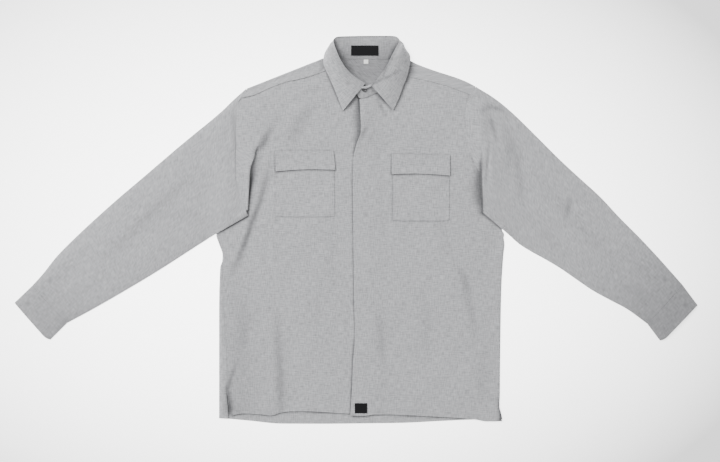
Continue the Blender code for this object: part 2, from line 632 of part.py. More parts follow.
def right_sleeve_grid():
    body_edge = ((-303, -16), (-296, 30), (-282, 70), (-268, 120))

    def rise(x, y):
        return (read(UNDERARM_FOLD, y, 3) + 0.8) * smoothstep((x + 330) / 80)

    def under_lift(x, y):
        away, _ = distance_to(body_edge, x, y)
        inside = x > read([(py, px) for px, py in body_edge], y)
        on_body = np.where(inside, 1, 1 - smoothstep(away / EDGE_EASE))
        return ON_BODY_LIFT * on_body * smoothstep((90 - y) / 30)

    seam_y = np.array([268, 253, 237, 215, 190, 165, 140, 118, 95, 71, 50])
    seam_x = read(ARMHOLE_RIGHT, seam_y) + 2
    seam_z = front_height(seam_x, seam_y) + LAP + 0.5 + read(UNDERARM_FOLD, seam_y, 3)
    yoke_end = [(-229.7, 296.8, 1.7), (-232.7, 291, 3.0), (-235.8, 285, 3.7), (-239.6, 278, 4.7)]
    top = [*yoke_end, *zip(seam_x, seam_y, seam_z), (-229, 38, 9.2), (-226, 31, 5.8)]
    under = [
        (-226, 31, 5.8), (-240, 29, 4.9), (-262, 27, 4.6), (-282, 29, 4.2), (-294, 40, 0.6),
        (-287, 60, 0.5), (-277, 90, 0.5), (-268, 122, 0.5), (-257, 180, 0.5), (-247.5, 240, 0.5),
        (-240, 275, 0.5), (-229.7, 296.8, 1.7),
    ]
    loops = sleeve_loops(SLEEVE_RIGHT_UPPER, SLEEVE_RIGHT_LOWER, rise, under_lift, under)
    loops.append(end_station(top, under))
    return np.array(loops)


def left_sleeve_grid():
    body_edge = ((318, -12), (305, 32), (294, 75), (279, 120))

    def lift(x, y):
        return 4.6 * smoothstep((345 - x) / 80) * smoothstep((205 - y) / 55)

    def under_lift(x, y):
        away, _ = distance_to(body_edge, x, y)
        inside = x < read([(py, px) for px, py in body_edge], y)
        on_body = np.where(inside, 1, 1 - smoothstep(away / EDGE_EASE))
        return ON_BODY_LIFT * on_body * smoothstep((100 - y) / 30)

    flap_top = [
        (254, 299, 2.0), (256, 285, 4.6), (257, 262, 6.0), (258, 230, 6.8), (260, 190, 7.4),
        (262, 156, 8.0), (265, 105, 8.4), (266, 73, 8.0), (267, 45, 7.6), (267, 37, 5.6),
    ]
    flap_under = [
        (267, 37, 5.6), (283, 44, 5.0), (301, 54, 4.4), (314, 70, 0.7), (304, 100, 0.5),
        (290, 134, 0.5), (276, 194, 0.5), (264, 250, 0.5), (258, 282, 0.5), (254, 299, 1.6),
    ]
    loops = sleeve_loops(SLEEVE_LEFT_UPPER, SLEEVE_LEFT_LOWER, lift, under_lift, flap_under)
    seam_y = np.array([272, 258, 244, 220, 194, 172, 153, 134, 122, 110, 92, 75, 55])
    seam_x = read(ARMHOLE_LEFT, seam_y) - 2
    seam_z = left_front_height(seam_x, seam_y) + LAP
    yoke_end = [(252.3, 300.5, 1.7), (250.3, 296, 3.2), (246.6, 290, 3.8), (242.8, 284, 4.8)]
    seam_top = [*yoke_end, *zip(seam_x, seam_y, seam_z), (302.5, 33, 4.3)]
    seam_under = [
        (302.5, 33, 4.3), (305, 43, 4.3), (300, 58, 1.2), (296, 70, 0.5), (291, 85, 0.5), (277.5, 120, 0.5),
        (264.5, 180, 0.5), (254.5, 240, 0.5), (252.5, 280, 0.5), (252.3, 300.5, 1.7),
    ]
    flap, seam = end_station(flap_top, flap_under), end_station(seam_top, seam_under)
    top_count = len(TOP_ROUND)
    shares = np.concatenate([TOP_ROUND, np.zeros(len(UNDER_ROUND))])
    folded = smoothstep((shares - 0.48) / 0.12)
    folded[top_count:] = 0
    folded[top_count - 1] = 0
    for reach, inset, drop in ((0.0, 1.2, 0.0), (0.12, 0.0, 1.0), (0.3, 1.4, 2.1), (0.55, 6.0, 2.6)):
        open_way = blend(flap, seam, reach)
        under_way = flap + np.stack([inset + 0 * shares, 0 * shares, -drop + 0 * shares], -1)
        near_seam = np.minimum(under_way[:, 0], seam[:, 0] - 1.5)
        under_way[:, 0] = np.where(reach > 0.4, np.maximum(flap[:, 0] + 1, near_seam), under_way[:, 0])
        loops.append(blend(open_way, under_way, folded[:, None]))
    loops.append(seam)
    return np.array(loops)


def flat_on_floor(x, y):
    return 0 * np.asarray(x, float)


def cuff_grid(sleeve_loop, end):
    """Closed band from the sleeve's first loop to the cuff's end, one corner rounded."""
    upper, lower = np.array(end[0], float), np.array(end[1], float)
    far = sleeve_station(upper, lower, flat_on_floor, flat_on_floor, height=CUFF_CROWN)
    near = sleeve_loop.copy()
    inward = far.mean(axis=0) - near.mean(axis=0)
    inward /= np.linalg.norm(inward)
    near[:, :2] += inward[:2] * SEAM
    shares = np.concatenate([TOP_ROUND, UNDER_ROUND])
    rounded = CUFF_CORNER * np.clip((shares - 0.86) / 0.14, 0, 1) ** 2
    loops = []
    for step in (0, 0.4, 0.72, 1):
        loop = blend(near, far, step)
        if step == 1:
            loop[:, :2] -= inward[:2] * rounded[:, None]
        loops.append(loop)
    return np.array(loops)


def pocket_grid(side, height):
    low_x, high_x, bottom = POCKETS[side]["bag"]
    top = POCKETS[side]["flap"][0][1] - 8
    across, up = np.linspace(0, 1, 6), np.linspace(0, 1, 6)
    x = blend(low_x, high_x, across)[None, :] + 0 * up[:, None]
    lift = np.where((across == 0) | (across == 1), POCKET_CORNER, 0)
    y = blend(bottom + lift[None, :], top, up[:, None])
    return np.stack([x, y, height(x, y) + LAP], -1)


def flap_grid(side, height):
    top_left, top_right, low_right, low_left = np.array(POCKETS[side]["flap"], float)
    across, down = np.linspace(0, 1, 9), np.linspace(0, 1, 4)
    upper = blend(top_left, top_right, across[:, None])
    lower = blend(low_left, low_right, across[:, None])
    lower[:, 1] += FLAP_BOW * np.sin(math.pi * across)
    xy = np.array([blend(upper, lower, share) for share in down])
    z = height(xy[..., 0], xy[..., 1]) + 2 * LAP + 0.9 * down[:, None] ** 2
    return np.concatenate([xy, z[..., None]], -1)


def between(rows, count):
    """Rows at even steps between the given ones, on smooth curves."""
    rows = np.array(rows, float)
    places = np.arange(len(rows), dtype=float)
    at = np.linspace(0, len(rows) - 1, (len(rows) - 1) * count + 1)
    return np.stack([steady_curve(places, rows[:, i], at) for i in range(rows.shape[1])], -1)


def stand_grid():
    neck_rows = [(*row[0:6], row[13]) for row in COLLAR] + [(*row, 0) for row in TAB]
    rows = between(neck_rows, 2)
    loops = []
    for step in STAND_STEPS:
        points = blend(rows[:, 0:3], rows[:, 3:6], step)
        points[:, 2] += rows[:, 6] * math.sin(math.pi * min(step, 1))
        loops.append(points)
    return np.stack(loops, 1)


def leaf_grid():
    rows = between(COLLAR, 2)
    roll, middle, edge, turn = rows[:, 3:6], rows[:, 6:9], rows[:, 9:12], rows[:, 12:13]
    away = middle - roll
    away /= np.linalg.norm(away, axis=1)[:, None]
    outward = roll - rows[:, 0:3]
    outward[:, 2] = 0
    outward /= np.linalg.norm(outward, axis=1)[:, None]
    down = np.array([0, 0, 1.0])
    first = roll + blend(1.1 * down - 0.6 * outward, 0.5 * outward, turn)
    ridge = roll + blend(away * 2.0 + 1.0 * down, outward * 1.7 - 0.7 * down, turn)
    over = roll + blend(away * 5.5 + 0.2 * down, -0.6 * outward - 1.35 * down, turn)
    over[:, 2] = np.maximum(over[:, 2], FLOOR_LAYER)
    columns = [first, ridge, over]
    for step in LEAF_STEPS[1:]:
        curve = (1 - step) * (1 - 2 * step) * over + 4 * step * (1 - step) * middle
        curve += step * (2 * step - 1) * edge
        curve[:, 2] = np.maximum(curve[:, 2], FLOOR_LAYER)
        columns.append(curve)
    return np.stack(columns, 1)


def on_stand(x, y):
    return 0 * x + STAND_HEIGHT


def on_yoke(x, y):
    return 0 * x + FLOOR_LAYER


def label_grid(place, height):
    low_x, high_x, low_y, high_y = place
    x, y = np.meshgrid([low_x, blend(low_x, high_x, 0.5), high_x], [low_y, high_y])
    return np.stack([x, y, height(x, y) + (CLOTH + LABEL_THICK) / 2 + SEAM], -1)


def collar_button(material):
    """Disc on the tab, tilted with it."""
    build = bmesh.new()
    bmesh.ops.create_cone(
        build, cap_ends=True, segments=20, radius1=BUTTON_RADIUS, radius2=BUTTON_RADIUS, depth=BUTTON_THICK
    )
    points = np.array([tuple(vertex.co) for vertex in build.verts])
    faces = [tuple(vertex.index for vertex in face.verts) for face in build.faces]
    build.free()
    c, s = math.cos(BUTTON_TILT), math.sin(BUTTON_TILT)
    turned_points = points @ np.array([[1, 0, 0], [0, c, s], [0, -s, c]])
    lift = CLOTH / 2 + SEAM + BUTTON_THICK / 2
    turned_points += (BUTTON_X, BUTTON_Y - lift * s, TAB_HEIGHT + lift * c)
    return mesh_object("collar_button", turned_points, faces, material)


def main():
    for old in list(bpy.data.objects):
        bpy.data.objects.remove(old, do_unlink=True)
    grey = new_material("grey_cloth", CLOTH_GREY, 0.9)
    black = new_material("dark_label", LABEL_BLACK, 0.7)
    white = new_material("white_label", LABEL_WHITE, 0.6)
    dark = new_material("dark_button", BUTTON_DARK, 0.35)

    wall("back", back_grid(), grey)
    front, kept = right_front_grid()
    wall("front_right", front, grey, kept)
    wall("front_left", left_front_grid(), grey)
    yoke, kept = yoke_grid()
    wall("yoke", yoke, grey, kept)
    right_sleeve, left_sleeve = right_sleeve_grid(), left_sleeve_grid()
    wall("sleeve_right", right_sleeve, grey, ring=True)
    wall("sleeve_left", left_sleeve, grey, ring=True)
    wall("cuff_right", cuff_grid(right_sleeve[0], CUFF_RIGHT_END), grey, ring=True)
    wall("cuff_left", cuff_grid(left_sleeve[0], CUFF_LEFT_END), grey, ring=True)
    for side, height in (("right", front_height), ("left", left_front_height)):
        wall("pocket_" + side, pocket_grid(side, height), grey)
        wall("flap_" + side, flap_grid(side, height), grey)
    wall("collar_stand", stand_grid(), grey)
    wall("collar_leaf", leaf_grid(), grey)
    for name, place, height, material in (
        ("neck_label", NECK_LABEL, on_stand, black),
        ("size_label", SIZE_LABEL, on_yoke, white),
        ("hem_tag", HEM_TAG, left_front_height, black),
    ):
        wall(name, label_grid(place, height), material, thickness=LABEL_THICK)
    collar_button(dark)


main()
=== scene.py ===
"""Grey long-sleeved shirt laid flat: its cloth, creases, sewing and labels, the light and the camera.

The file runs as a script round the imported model. Tables and grids are in millimetres, as in the
part's source, and become metres where a mesh is made. The wearer's left is at +X.
"""

import math

import bmesh
import bpy
import numpy as np
from bpy.props import FloatProperty, FloatVectorProperty, PointerProperty
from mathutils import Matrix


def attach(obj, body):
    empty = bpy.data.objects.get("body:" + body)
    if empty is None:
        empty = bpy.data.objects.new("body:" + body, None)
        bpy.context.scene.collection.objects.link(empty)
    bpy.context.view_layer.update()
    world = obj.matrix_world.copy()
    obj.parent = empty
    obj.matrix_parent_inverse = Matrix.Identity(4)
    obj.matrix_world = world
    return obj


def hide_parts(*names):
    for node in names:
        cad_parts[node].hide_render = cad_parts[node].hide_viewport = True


bl_info = {
    "name": "Shirt laid flat",
    "version": (1, 0, 0),
    "blender": (4, 5, 0),
    "location": "3D View > Sidebar > Shirt",
    "description": "Builds the cloth, sewing and labels of a shirt laid flat",
    "category": "Object",
}

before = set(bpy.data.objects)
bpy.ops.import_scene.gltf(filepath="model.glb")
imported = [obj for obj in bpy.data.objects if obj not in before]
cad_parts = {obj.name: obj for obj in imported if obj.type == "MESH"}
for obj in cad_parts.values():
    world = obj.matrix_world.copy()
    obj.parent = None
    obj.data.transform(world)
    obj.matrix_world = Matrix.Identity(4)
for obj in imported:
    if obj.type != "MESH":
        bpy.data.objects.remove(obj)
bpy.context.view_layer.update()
BODY = "root"
METRES = 0.001

# driving sizes
CLOTH = 1.0  # wall of one layer
SEAM = 0.3  # gap between two pieces
LAP = CLOTH + 0.35  # from the middle of a layer to the middle of one lying on it
FLOOR_LAYER = CLOTH / 2
PANEL_RISE = 2.6  # middle of the upper layer beside the side folds
PLUMP = 1.5  # how much higher the upper layer is in the middle
CHEST_LEFT, CHEST_RIGHT = -287.0, 303.0
YOKE_SEAM_Y = 250.0
NECK_X, NECK_Y = 20.0, 330.0
FOLD_RADIUS = (PANEL_RISE - FLOOR_LAYER) / 2
HALF_TURN = math.pi * FOLD_RADIUS
UNDER_WRAP = 6.0  # how far the left front reaches under at its side
SLEEVE_CROWN = 4.0
ON_BODY_LIFT = 4.0  # how much a sleeve's underside is raised where it lies on the body
EDGE_EASE = 14.0  # how far off the body's edge the underside comes down to the floor
CUFF_CROWN = 3.4
CUFF_CORNER = 5.5

# outline and seam tables: place, value
OUTLINE_RIGHT_BODY = (  # y, x of the outer fold on the wearer's right
    (-407, -287), (-300, -287), (-166, -287), (-83, -285), (-52, -280), (-10, -293), (28, -285),
)
OUTLINE_LEFT_BODY = (
    (-407, 309), (-355, 303), (-338, 302), (-232, 303), (-126, 305), (-57, 309), (-4, 314), (30, 300),
)
BACK_STRIP = (  # y, width of the back that shows in front on the wearer's right
    (-407, 19), (-385, 19), (-338, 15.5), (-287, 16), (-220, 13), (-161, 9), (-80, 5), (-52, 0),
)
FRONT_SLIT = ((-395, 11), (-384, 9), (-360, 4), (-338, 0))  # y, gap of the hem slit
BACK_ARMHOLE_RIGHT = (
    (-10, -293), (28, -285), (70, -275), (120, -265), (180, -254), (240, -245), (250, -243),
)
BACK_ARMHOLE_LEFT = ((-4, 313), (30, 300), (75, 290), (120, 275), (180, 262), (240, 252), (250, 250))
ARMHOLE_RIGHT = (
    (42, -231), (71, -239), (100, -247), (118, -256), (150, -257), (196, -252), (237, -254),
    (262, -244), (279, -238),
)
ARMHOLE_LEFT = (
    (30, 300), (75, 283), (110, 268), (134, 252), (153, 245), (194, 232), (244, 230), (263, 232),
    (285, 241),
)
BACK_HEM = (
    (-287, -395), (-244, -398), (-212, -402), (-180, -406), (-117, -407), (93, -405), (177, -401),
    (210, -400), (244, -398), (309, -397),
)
RIGHT_FRONT_HEM = (
    (-263, -389), (-225, -384), (-183, -389), (-144, -381), (-117, -380), (-12, -385), (30, -386),
)
LEFT_FRONT_HEM = (
    (-12, -389), (13, -390), (41, -387), (51, -387), (177, -392), (210, -394), (244, -397),
    (278, -402), (304, -401),
)
RIGHT_FRONT_TOP = (  # x, y of the front yoke seam and the neck edge
    (-238, 279), (-209, 286), (-177.5, 301), (-150, 311), (-110, 320), (-75, 331), (-54, 337),
    (-47, 325), (-34, 311), (-13, 293), (5, 283), (30, 281),
)
LEFT_FRONT_TOP = (
    (7.6, 273.5), (22, 279.5), (35, 285.3), (50, 293), (68, 307), (82, 320), (88, 329), (111, 323),
    (138, 317), (172, 309), (210, 297), (234, 287), (241, 285),
)
YOKE_FRONT = (
    (-238, 279), (-209, 286), (-177.5, 301), (-150, 311), (-110, 320), (-75, 331), (-54, 337.6),
    (88, 329.6), (111, 323), (138, 317), (172, 309), (210, 297), (234, 287), (241, 285),
)
YOKE_TOP = (  # x, y of the shoulder folds and of the back neck edge
    (-228, 297), (-223, 299), (-132, 335), (-78, 356), (-62, 361), (-45, 360), (-30, 359.3),
    (25, 359.5), (80, 359), (105, 358), (115, 354), (135, 345), (181, 329), (223, 315), (251, 301),
)
NECK_SHOULDER_RIGHT, NECK_SHOULDER_LEFT = (-62, -54), (105, 90)  # x at the fold, x at the seam
PLACKET_EDGE = (
    (-386, -11.6), (-335, -8.4), (-267, -5.7), (-218, -1.9), (-147, -4), (-55, -5), (63, -6.5),
    (106, -6.9), (146, -5.5), (162, -3.8), (177, 0.2), (190, 6.7), (202, 9.9), (212, 10.7),
    (251, 9), (273, 7.6),
)
OVERLAP_X = 30.0  # hidden edge of the under front
PLACKET_LIFT = ((150, 0), (178, 2.6), (205, 4.0), (245, 3.2), (275, 1.0))  # y, lift of the edge

# the underarm fold of the wearer's right front:
# y, x of the fold's edge, cloth folded under it, rise of the upper layer, lift of its edge
UNDERARM_FOLD = (
    (42, -227, 24, 4.0, 0.5),
    (84, -224.5, 24, 4.0, 2.2),
    (122, -222.5, 21, 4.0, 2.6),
    (151, -214, 12, 3.6, 1.6),
    (178, -195, -1, 2.4, 0.2),
    (207, -174, -8, 1.3, 0.0),
    (235, -166, -14, 0.5, 0.0),
    (265, -160, -16, 0.0, 0.0),
    (340, -158, -16, 0.0, 0.0),
)

# largest folds in the fronts: depth, half width, then points of the line
FRONT_FOLDS = (
    (
        -2.0, 11,
        (
            (-187, 116), (-194, 91), (-204, 54), (-215, 26), (-224, -1), (-242, -44), (-252, -72),
            (-263, -97),
        ),
    ),
    (-1.0, 10, ((-248, -278), (-256, -291), (-260, -306), (-266, -325))),
)

# sleeve edges from the cuff seam to the body
SLEEVE_RIGHT_UPPER = (
    (-679, -117), (-646, -80), (-615, -40), (-584, -12), (-525, 43), (-448, 109), (-354, 189),
    (-306, 228), (-271.5, 258), (-246, 283.5), (-230, 296.5),
)
SLEEVE_RIGHT_LOWER = (
    (-606, -195), (-552, -166), (-427, -93), (-295, -9), (-226, 31),
)
SLEEVE_LEFT_UPPER = (
    (685, -115), (637, -61), (595, -16), (557, 22), (504, 78), (449, 127), (410, 165), (365, 210),
    (313, 259), (275, 287), (253, 300.5),
)
SLEEVE_LEFT_LOWER = (
    (612, -197), (600, -188), (581, -173), (557, -159), (504, -131), (421, -75), (344, -30),
    (314, -4), (267, 37),
)
CUFF_RIGHT_END = ((-716.5, -153), (-645.2, -233.9))
CUFF_LEFT_END = ((717, -158), (641.7, -236.2))
SLEEVE_STEPS = (0, 0.05, 0.13, 0.22, 0.32, 0.42, 0.52, 0.61, 0.69, 0.76, 0.83, 0.89, 0.94)
BEND_FROM = 8  # the first step whose underside bends round the underarm
TOP_ROUND = (0, 0.025, 0.08, 0.17, 0.28, 0.4, 0.52, 0.64, 0.76, 0.86, 0.94, 0.98, 1)
UNDER_ROUND = (0.97, 0.92, 0.84, 0.65, 0.45, 0.25, 0.1, 0.035)

# flap pockets: corners of the flap, then the pocket's left, right and bottom, each x or y
POCKETS = {
    "right": {"flap": ((-169, 165), (-47, 166.5), (-43, 126), (-168, 123)), "bag": (-168, -45, 28)},
    "left": {"flap": ((75, 159), (197, 157), (197, 114), (75, 117)), "bag": (78, 195.5, 19.5)},
}
FLAP_BOW = 2.5  # how far the middle of a flap's lower edge is drawn up
POCKET_CORNER = 1.5  # how far a pocket's lower corners are drawn up

# collar: a row for each station round the neck, from the wearer's right front end
# neck seam x y z | roll line x y z | middle of the leaf x y z | leaf edge x y z | turn, bow
COLLAR = (
    (22, 282.8, 3.0, 20, 307, 10.5, -3.5, 278.5, 11.0, -27, 250, 5.6, 0, -2.2),
    (5, 284.5, 3.6, 8, 314, 14.0, -15, 294, 12.5, -36.5, 274, 5.6, 0, -0.5),
    (-13.5, 293.0, 4.1, -5, 323, 17, -26, 311, 14.5, -46, 298, 5.6, 0, 0),
    (-34.5, 311, 4.1, -20, 337.5, 20, -40, 333, 17.5, -58.5, 326, 6.0, 0, 0),
    (-54.5, 337, 5.4, -33, 358, 21, -53, 354.5, 17.5, -68, 350, 6.5, 0, 0),
    (-58, 351, 4.8, -42, 379, 16.5, -61, 373, 12.5, -66.5, 367.5, 4.0, 0.15, 0),
    (-50, 359.5, 2.3, -47, 396, 9.0, -56, 386, 6.0, -56, 374, 1.0, 0.4, 0),
    (-37, 359.3, 1.9, -38.5, 404.3, 4.0, -44, 392, 1.6, -42, 370, 0.6, 0.8, 0),
    (-18, 359.2, 1.85, -20, 405, 2.1, -20, 386, 0.5, -20, 368, 0.5, 1, 0),
    (25, 359.2, 1.85, 25, 405.8, 1.9, 25, 386, 0.5, 25, 368, 0.5, 1, 0),
    (68, 359, 1.85, 70, 405.8, 2.1, 70, 386, 0.5, 70, 368, 0.5, 1, 0),
    (86, 358.8, 1.95, 84, 404.6, 4.0, 89, 392, 1.6, 88, 371, 0.6, 0.8, 0),
    (96, 358.5, 2.5, 91, 395.6, 9.5, 101, 387, 7.5, 100, 376, 1.2, 0.35, 0),
    (102, 350, 4.9, 84, 382, 16.5, 99, 380, 14.5, 111.5, 370, 4.6, 0.1, 0),
    (98, 339, 5.5, 74.5, 364, 21, 95, 363, 18.5, 114, 357, 8.0, 0, 0),
    (87, 323.5, 5.4, 65.5, 345, 20, 87, 336, 17.5, 107.5, 324, 8.0, 0, 0),
    (69, 306, 5.4, 55, 330, 17, 79, 317, 15.0, 99, 302, 7.5, 0, 0),
    (51, 292, 5.4, 46, 317, 15, 70, 298, 13.0, 90, 277, 7.0, 0, 0),
    (36, 284.6, 5.4, 31.5, 303.5, 12, 55, 277, 11.5, 78, 251, 6.6, 0, 0),
)
TAB = (  # the stand goes on into its front tab
    (22, 278.6, 6.0, 22, 300.5, 9.8),
    (10.5, 275.6, 6.0, 11.5, 298, 9.6),
    (5.4, 278.5, 5.9, 5.8, 294, 9.0),
    (2.9, 283, 6.8, 3.1, 289, 8.0),
)
BUTTON_X, BUTTON_Y = 17.5, 294.5
TAB_HEIGHT = 9.2  # middle of the tab under the button
BUTTON_THICK, BUTTON_TILT = 1.8, math.radians(10)
STAND_STEPS = (0, 0.12, 0.5, 0.97)
LEAF_STEPS = (0, 0.35, 0.7, 1)  # from the turn to the leaf's edge

# labels: x from, x to, y from, y to
NECK_LABEL = (-10, 47, 366, 387)
SIZE_LABEL = (16.6, 26, 349, 357.6)
HEM_TAG = (-2.5, 23.5, -384, -363)
LABEL_THICK = 0.6
STAND_HEIGHT = 2.1  # middle of the stand under the neck label

# rows of the fronts and the back: shares up to the slit, then y, then shares up to the top
HEM_SHARES = (0, 0.35, 0.7)
SLIT_Y = -338
BODY_Y = (
    -338, -310, -275, -240, -205, -170, -135, -105, -78, -52, -30, -10, 10, 28, 42, 56, 71, 90, 110,
    130, 151, 178, 207,
)
LAST_BODY_Y = BODY_Y[-1]
TOP_SHARES = (0.25, 0.5, 0.75, 1)
STRIP_ROW = len(HEM_SHARES) + BODY_Y.index(42)  # the folded-over cloth starts here

# stations across the yoke, and those at the two sides of the neck
YOKE_STATIONS = (
    0, 0.04, 0.1, 0.17, 0.24, 0.3, 0.35, 0.45, 0.58, 0.695, 0.74, 0.79, 0.85, 0.91, 0.96, 1,
)
NECK_FIRST, NECK_LAST = 6, 9

# the button from under its middle to its dish: radius, height
BUTTON_PROFILE = (
    (0.5, -0.9), (4.4, -0.9), (5.0, -0.6), (5.2, 0.0), (5.0, 0.6), (4.6, 0.85), (4.1, 0.75), (3.6, 0.35),
    (1.2, 0.3), (0.5, 0.3),
)

# shade that gathers between layers: x, y, depth, half width of each point of a line
PLACKET_SHADE = (
    (1, 287, 0.9, 3), (7, 276, 0.9, 4), (9, 262, 0.85, 9), (7.5, 241, 0.7, 12), (8.5, 220, 0.68, 11),
    (7, 198, 0.68, 9), (-2, 165, 0.84, 3.8), (-6.1, 106, 0.87, 2.7), (-5.7, 63, 0.88, 2.6),
    (-4.2, -55, 0.88, 2.5), (-3.2, -147, 0.86, 2.5), (-1.1, -218, 0.75, 2.4), (-4.9, -262, 0.84, 3.2),
    (-7.6, -325, 0.88, 3.2), (-10.8, -386, 0.8, 3),
)
RIGHT_LEAF_FRONT = (
    (-27, 250, 0.12, 2.2), (-14, 262, 0.2, 2.6), (-1, 279, 0.45, 3.5), (3, 286, 0.85, 4), (20, 300, 0.6, 4),
)
RIGHT_LEAF_OUTER = (
    (-27, 250, 0.4, 2.2), (-37, 274, 0.6, 2.8), (-47, 298, 0.62, 2.8), (-59, 326, 0.6, 3), (-69, 351, 0.5, 4),
    (-67, 368, 0.3, 3),
)
LEFT_LEAF_FRONT = (
    (33, 299, 0.5, 3.6), (46, 286, 0.7, 4.5), (52, 280, 0.88, 5), (60, 272, 0.85, 5), (66, 264.5, 0.65, 4.5),
    (72, 257, 0.55, 3.5), (77, 251, 0.4, 3),
)
LEFT_LEAF_OUTER = (
    (84, 251, 0.1, 3), (96, 277, 0.22, 5), (105, 302, 0.12, 6), (112.5, 324, 0.45, 7), (117, 337, 0.58, 8),
    (120, 350, 0.5, 8), (119, 362, 0.2, 6),
)
TAB_SHADE = ((4.5, 287, 0.4, 2.5), (6, 277, 0.2, 2.5), (20, 276.5, 0.15, 2.2), (30, 282, 0.2, 2.5))
NECK_SHADE = ((-20, 365, 0.36, 38), (25, 335, 0.42, 38), (75, 365, 0.36, 38))
UNDERARM_SHADE = (  # on the layer under the fold
    (-227, 28, 0.9, 1.6), (-226.5, 57, 0.93, 3.2), (-223, 83, 0.88, 5), (-218, 109, 0.8, 7),
    (-214, 132, 0.45, 10), (-209, 148, 0.25, 10), (-202, 166, 0.1, 9), (-192, 182, 0.05, 9),
)
ON_FOLD_SHADE = (
    (-208, 164, 0.3, 8), (-196, 178, 0.45, 8), (-189, 190, 0.45, 8), (-183, 203, 0.3, 7), (-174, 216, 0.1, 7),
)
LONG_TROUGH_SHADE = (
    (-178, 140, 0.05, 7), (-188, 109, 0.28, 7), (-195, 83, 0.4, 7), (-202, 57, 0.5, 6), (-216, 22, 0.64, 6),
    (-231, -21, 0.6, 6.5), (-243, -55, 0.4, 7), (-263, -97, 0.08, 8),
)
LOW_CREASE_SHADE = (
    (-161, -165, 0.03, 8), (-159, -240, 0.26, 9), (-157, -320, 0.42, 9), (-156, -383, 0.22, 8),
)
# painted shade along a broad soft crease across the right chest
BROAD_CREASE_SHADE = ((-88, 262, 0.03, 12), (-106, 238, 0.16, 13), (-122, 212, 0.16, 14), (-140, 180, 0.03, 12))
# painted shade on the front beside the right sleeve's lower edge, where it lies on the body
RIGHT_UNDERARM_EDGE_SHADE = ((-226, 28.5, 0.7, 2.4), (-250, 15, 0.72, 3), (-275, 1, 0.75, 3.2), (-292, -9, 0.4, 3))
HEM_CURL_SHADE = (
    (-252, -282, 0.2, 5), (-262, -310, 0.42, 4.5), (-270, -335, 0.56, 6), (-266, -357, 0.66, 7),
    (-264, -378, 0.72, 9), (-261, -391, 0.1, 6),
)
RIGHT_SHADES = (PLACKET_SHADE, RIGHT_LEAF_FRONT, RIGHT_LEAF_OUTER, HEM_CURL_SHADE)
RIGHT_LOW_SHADES = (UNDERARM_SHADE, LONG_TROUGH_SHADE, LOW_CREASE_SHADE, BROAD_CREASE_SHADE, RIGHT_UNDERARM_EDGE_SHADE)
# painted shade in the slot beside the left sleeve's flap: a core, a soft spread and a sharp edge
LEFT_SLOT_SHADE = (
    (262.7, 157, 0.25, 2.5), (262.1, 144, 0.7, 3.5), (261, 125, 0.76, 4.6), (260.6, 106, 0.79, 4.8),
    (261.4, 88, 0.8, 4.8), (262.9, 69, 0.8, 4.6), (264.4, 50, 0.8, 4.2), (264.9, 37, 0.8, 3),
)
LEFT_SLOT_SOFT_SHADE = (
    (262, 157, 0.1, 5), (260.5, 126, 0.7, 10.5), (260, 94.5, 0.72, 15), (262, 63, 0.72, 13.5),
    (264, 40, 0.5, 8),
)
LEFT_SLOT_EDGE_SHADE = (
    (264, 148, 0.4, 2), (263.2, 125, 0.8, 2), (262.8, 106, 0.8, 2), (263.6, 88, 0.8, 2),
    (265, 69, 0.8, 2), (266, 50, 0.7, 2),
)
# painted shade on the front beside the left sleeve's lower edge, where it lies on the body
LEFT_UNDERARM_EDGE_SHADE = ((264, 36, 0.85, 3), (279, 24, 0.72, 3.4), (297, 9.5, 0.72, 3), (309, -1, 0.6, 2.6))
LEFT_CORNER_SHADE = (
    (298, -350, 0.1, 3), (301.5, -366, 0.65, 4.5), (304.5, -385, 0.8, 5), (303.5, -401, 0.78, 5),
)
LEFT_SHADES = (
    LEFT_LEAF_FRONT, LEFT_LEAF_OUTER, TAB_SHADE, LEFT_SLOT_SHADE, LEFT_SLOT_SOFT_SHADE, LEFT_UNDERARM_EDGE_SHADE,
    LEFT_CORNER_SHADE,
    ((243, 151.4, 0.3, 2), (248.6, 134.6, 0.3, 2)),
    ((237, 290, 0.18, 3), (232, 250, 0.2, 3), (230, 215, 0.1, 3)),
)
YOKE_SHADES = (
    RIGHT_LEAF_OUTER, LEFT_LEAF_OUTER,
    ((-76, 358, 0.3, 4), (-74, 349, 0.35, 4), (-70, 339, 0.3, 3.5), (-78, 330, 0.12, 4)),
)
NECK_ROLL_SHADE = ((40, 312, 0.3, 6), (52, 326, 0.35, 7), (66, 346, 0.5, 9), (74, 363, 0.8, 8))
SLEEVE_SHADES = {
    "right": (
        ((-330, 120, 0.02, 14), (-400, 60, 0.08, 14), (-470, -10, 0.08, 14), (-540, -80, 0.02, 14)),
        ((-257, 240, 0.2, 4), (-255, 195, 0.2, 4), (-260, 150, 0.08, 4)),
    ),
    "left": (
        ((313, 196.6, 0.08, 7), (321, 174, 0.16, 7), (317, 150, 0.14, 7), (316, 126, 0.03, 7)),
        ((331, 166.5, 0.06, 7), (343, 144, 0.16, 7), (340, 110, 0.1, 7), (345, 60, 0.03, 7)),
        ((261, 247, 0.2, 3.5), (278, 258, 0.38, 4), (300, 254, 0.36, 4), (316, 242, 0.1, 5)),
        ((284, 231, 0.45, 3.4), (289, 210, 0.4, 4), (296, 186, 0.12, 5)),
        ((279, 181, 0.25, 2.4), (275, 140, 0.5, 2.4), (270, 99, 0.2, 2.4)),
        LEFT_SLOT_SHADE,
        LEFT_SLOT_EDGE_SHADE,
        ((452, 70, 0.05, 5), (447, 50, 0.32, 6), (441, 24, 0.16, 6)),
    ),
}
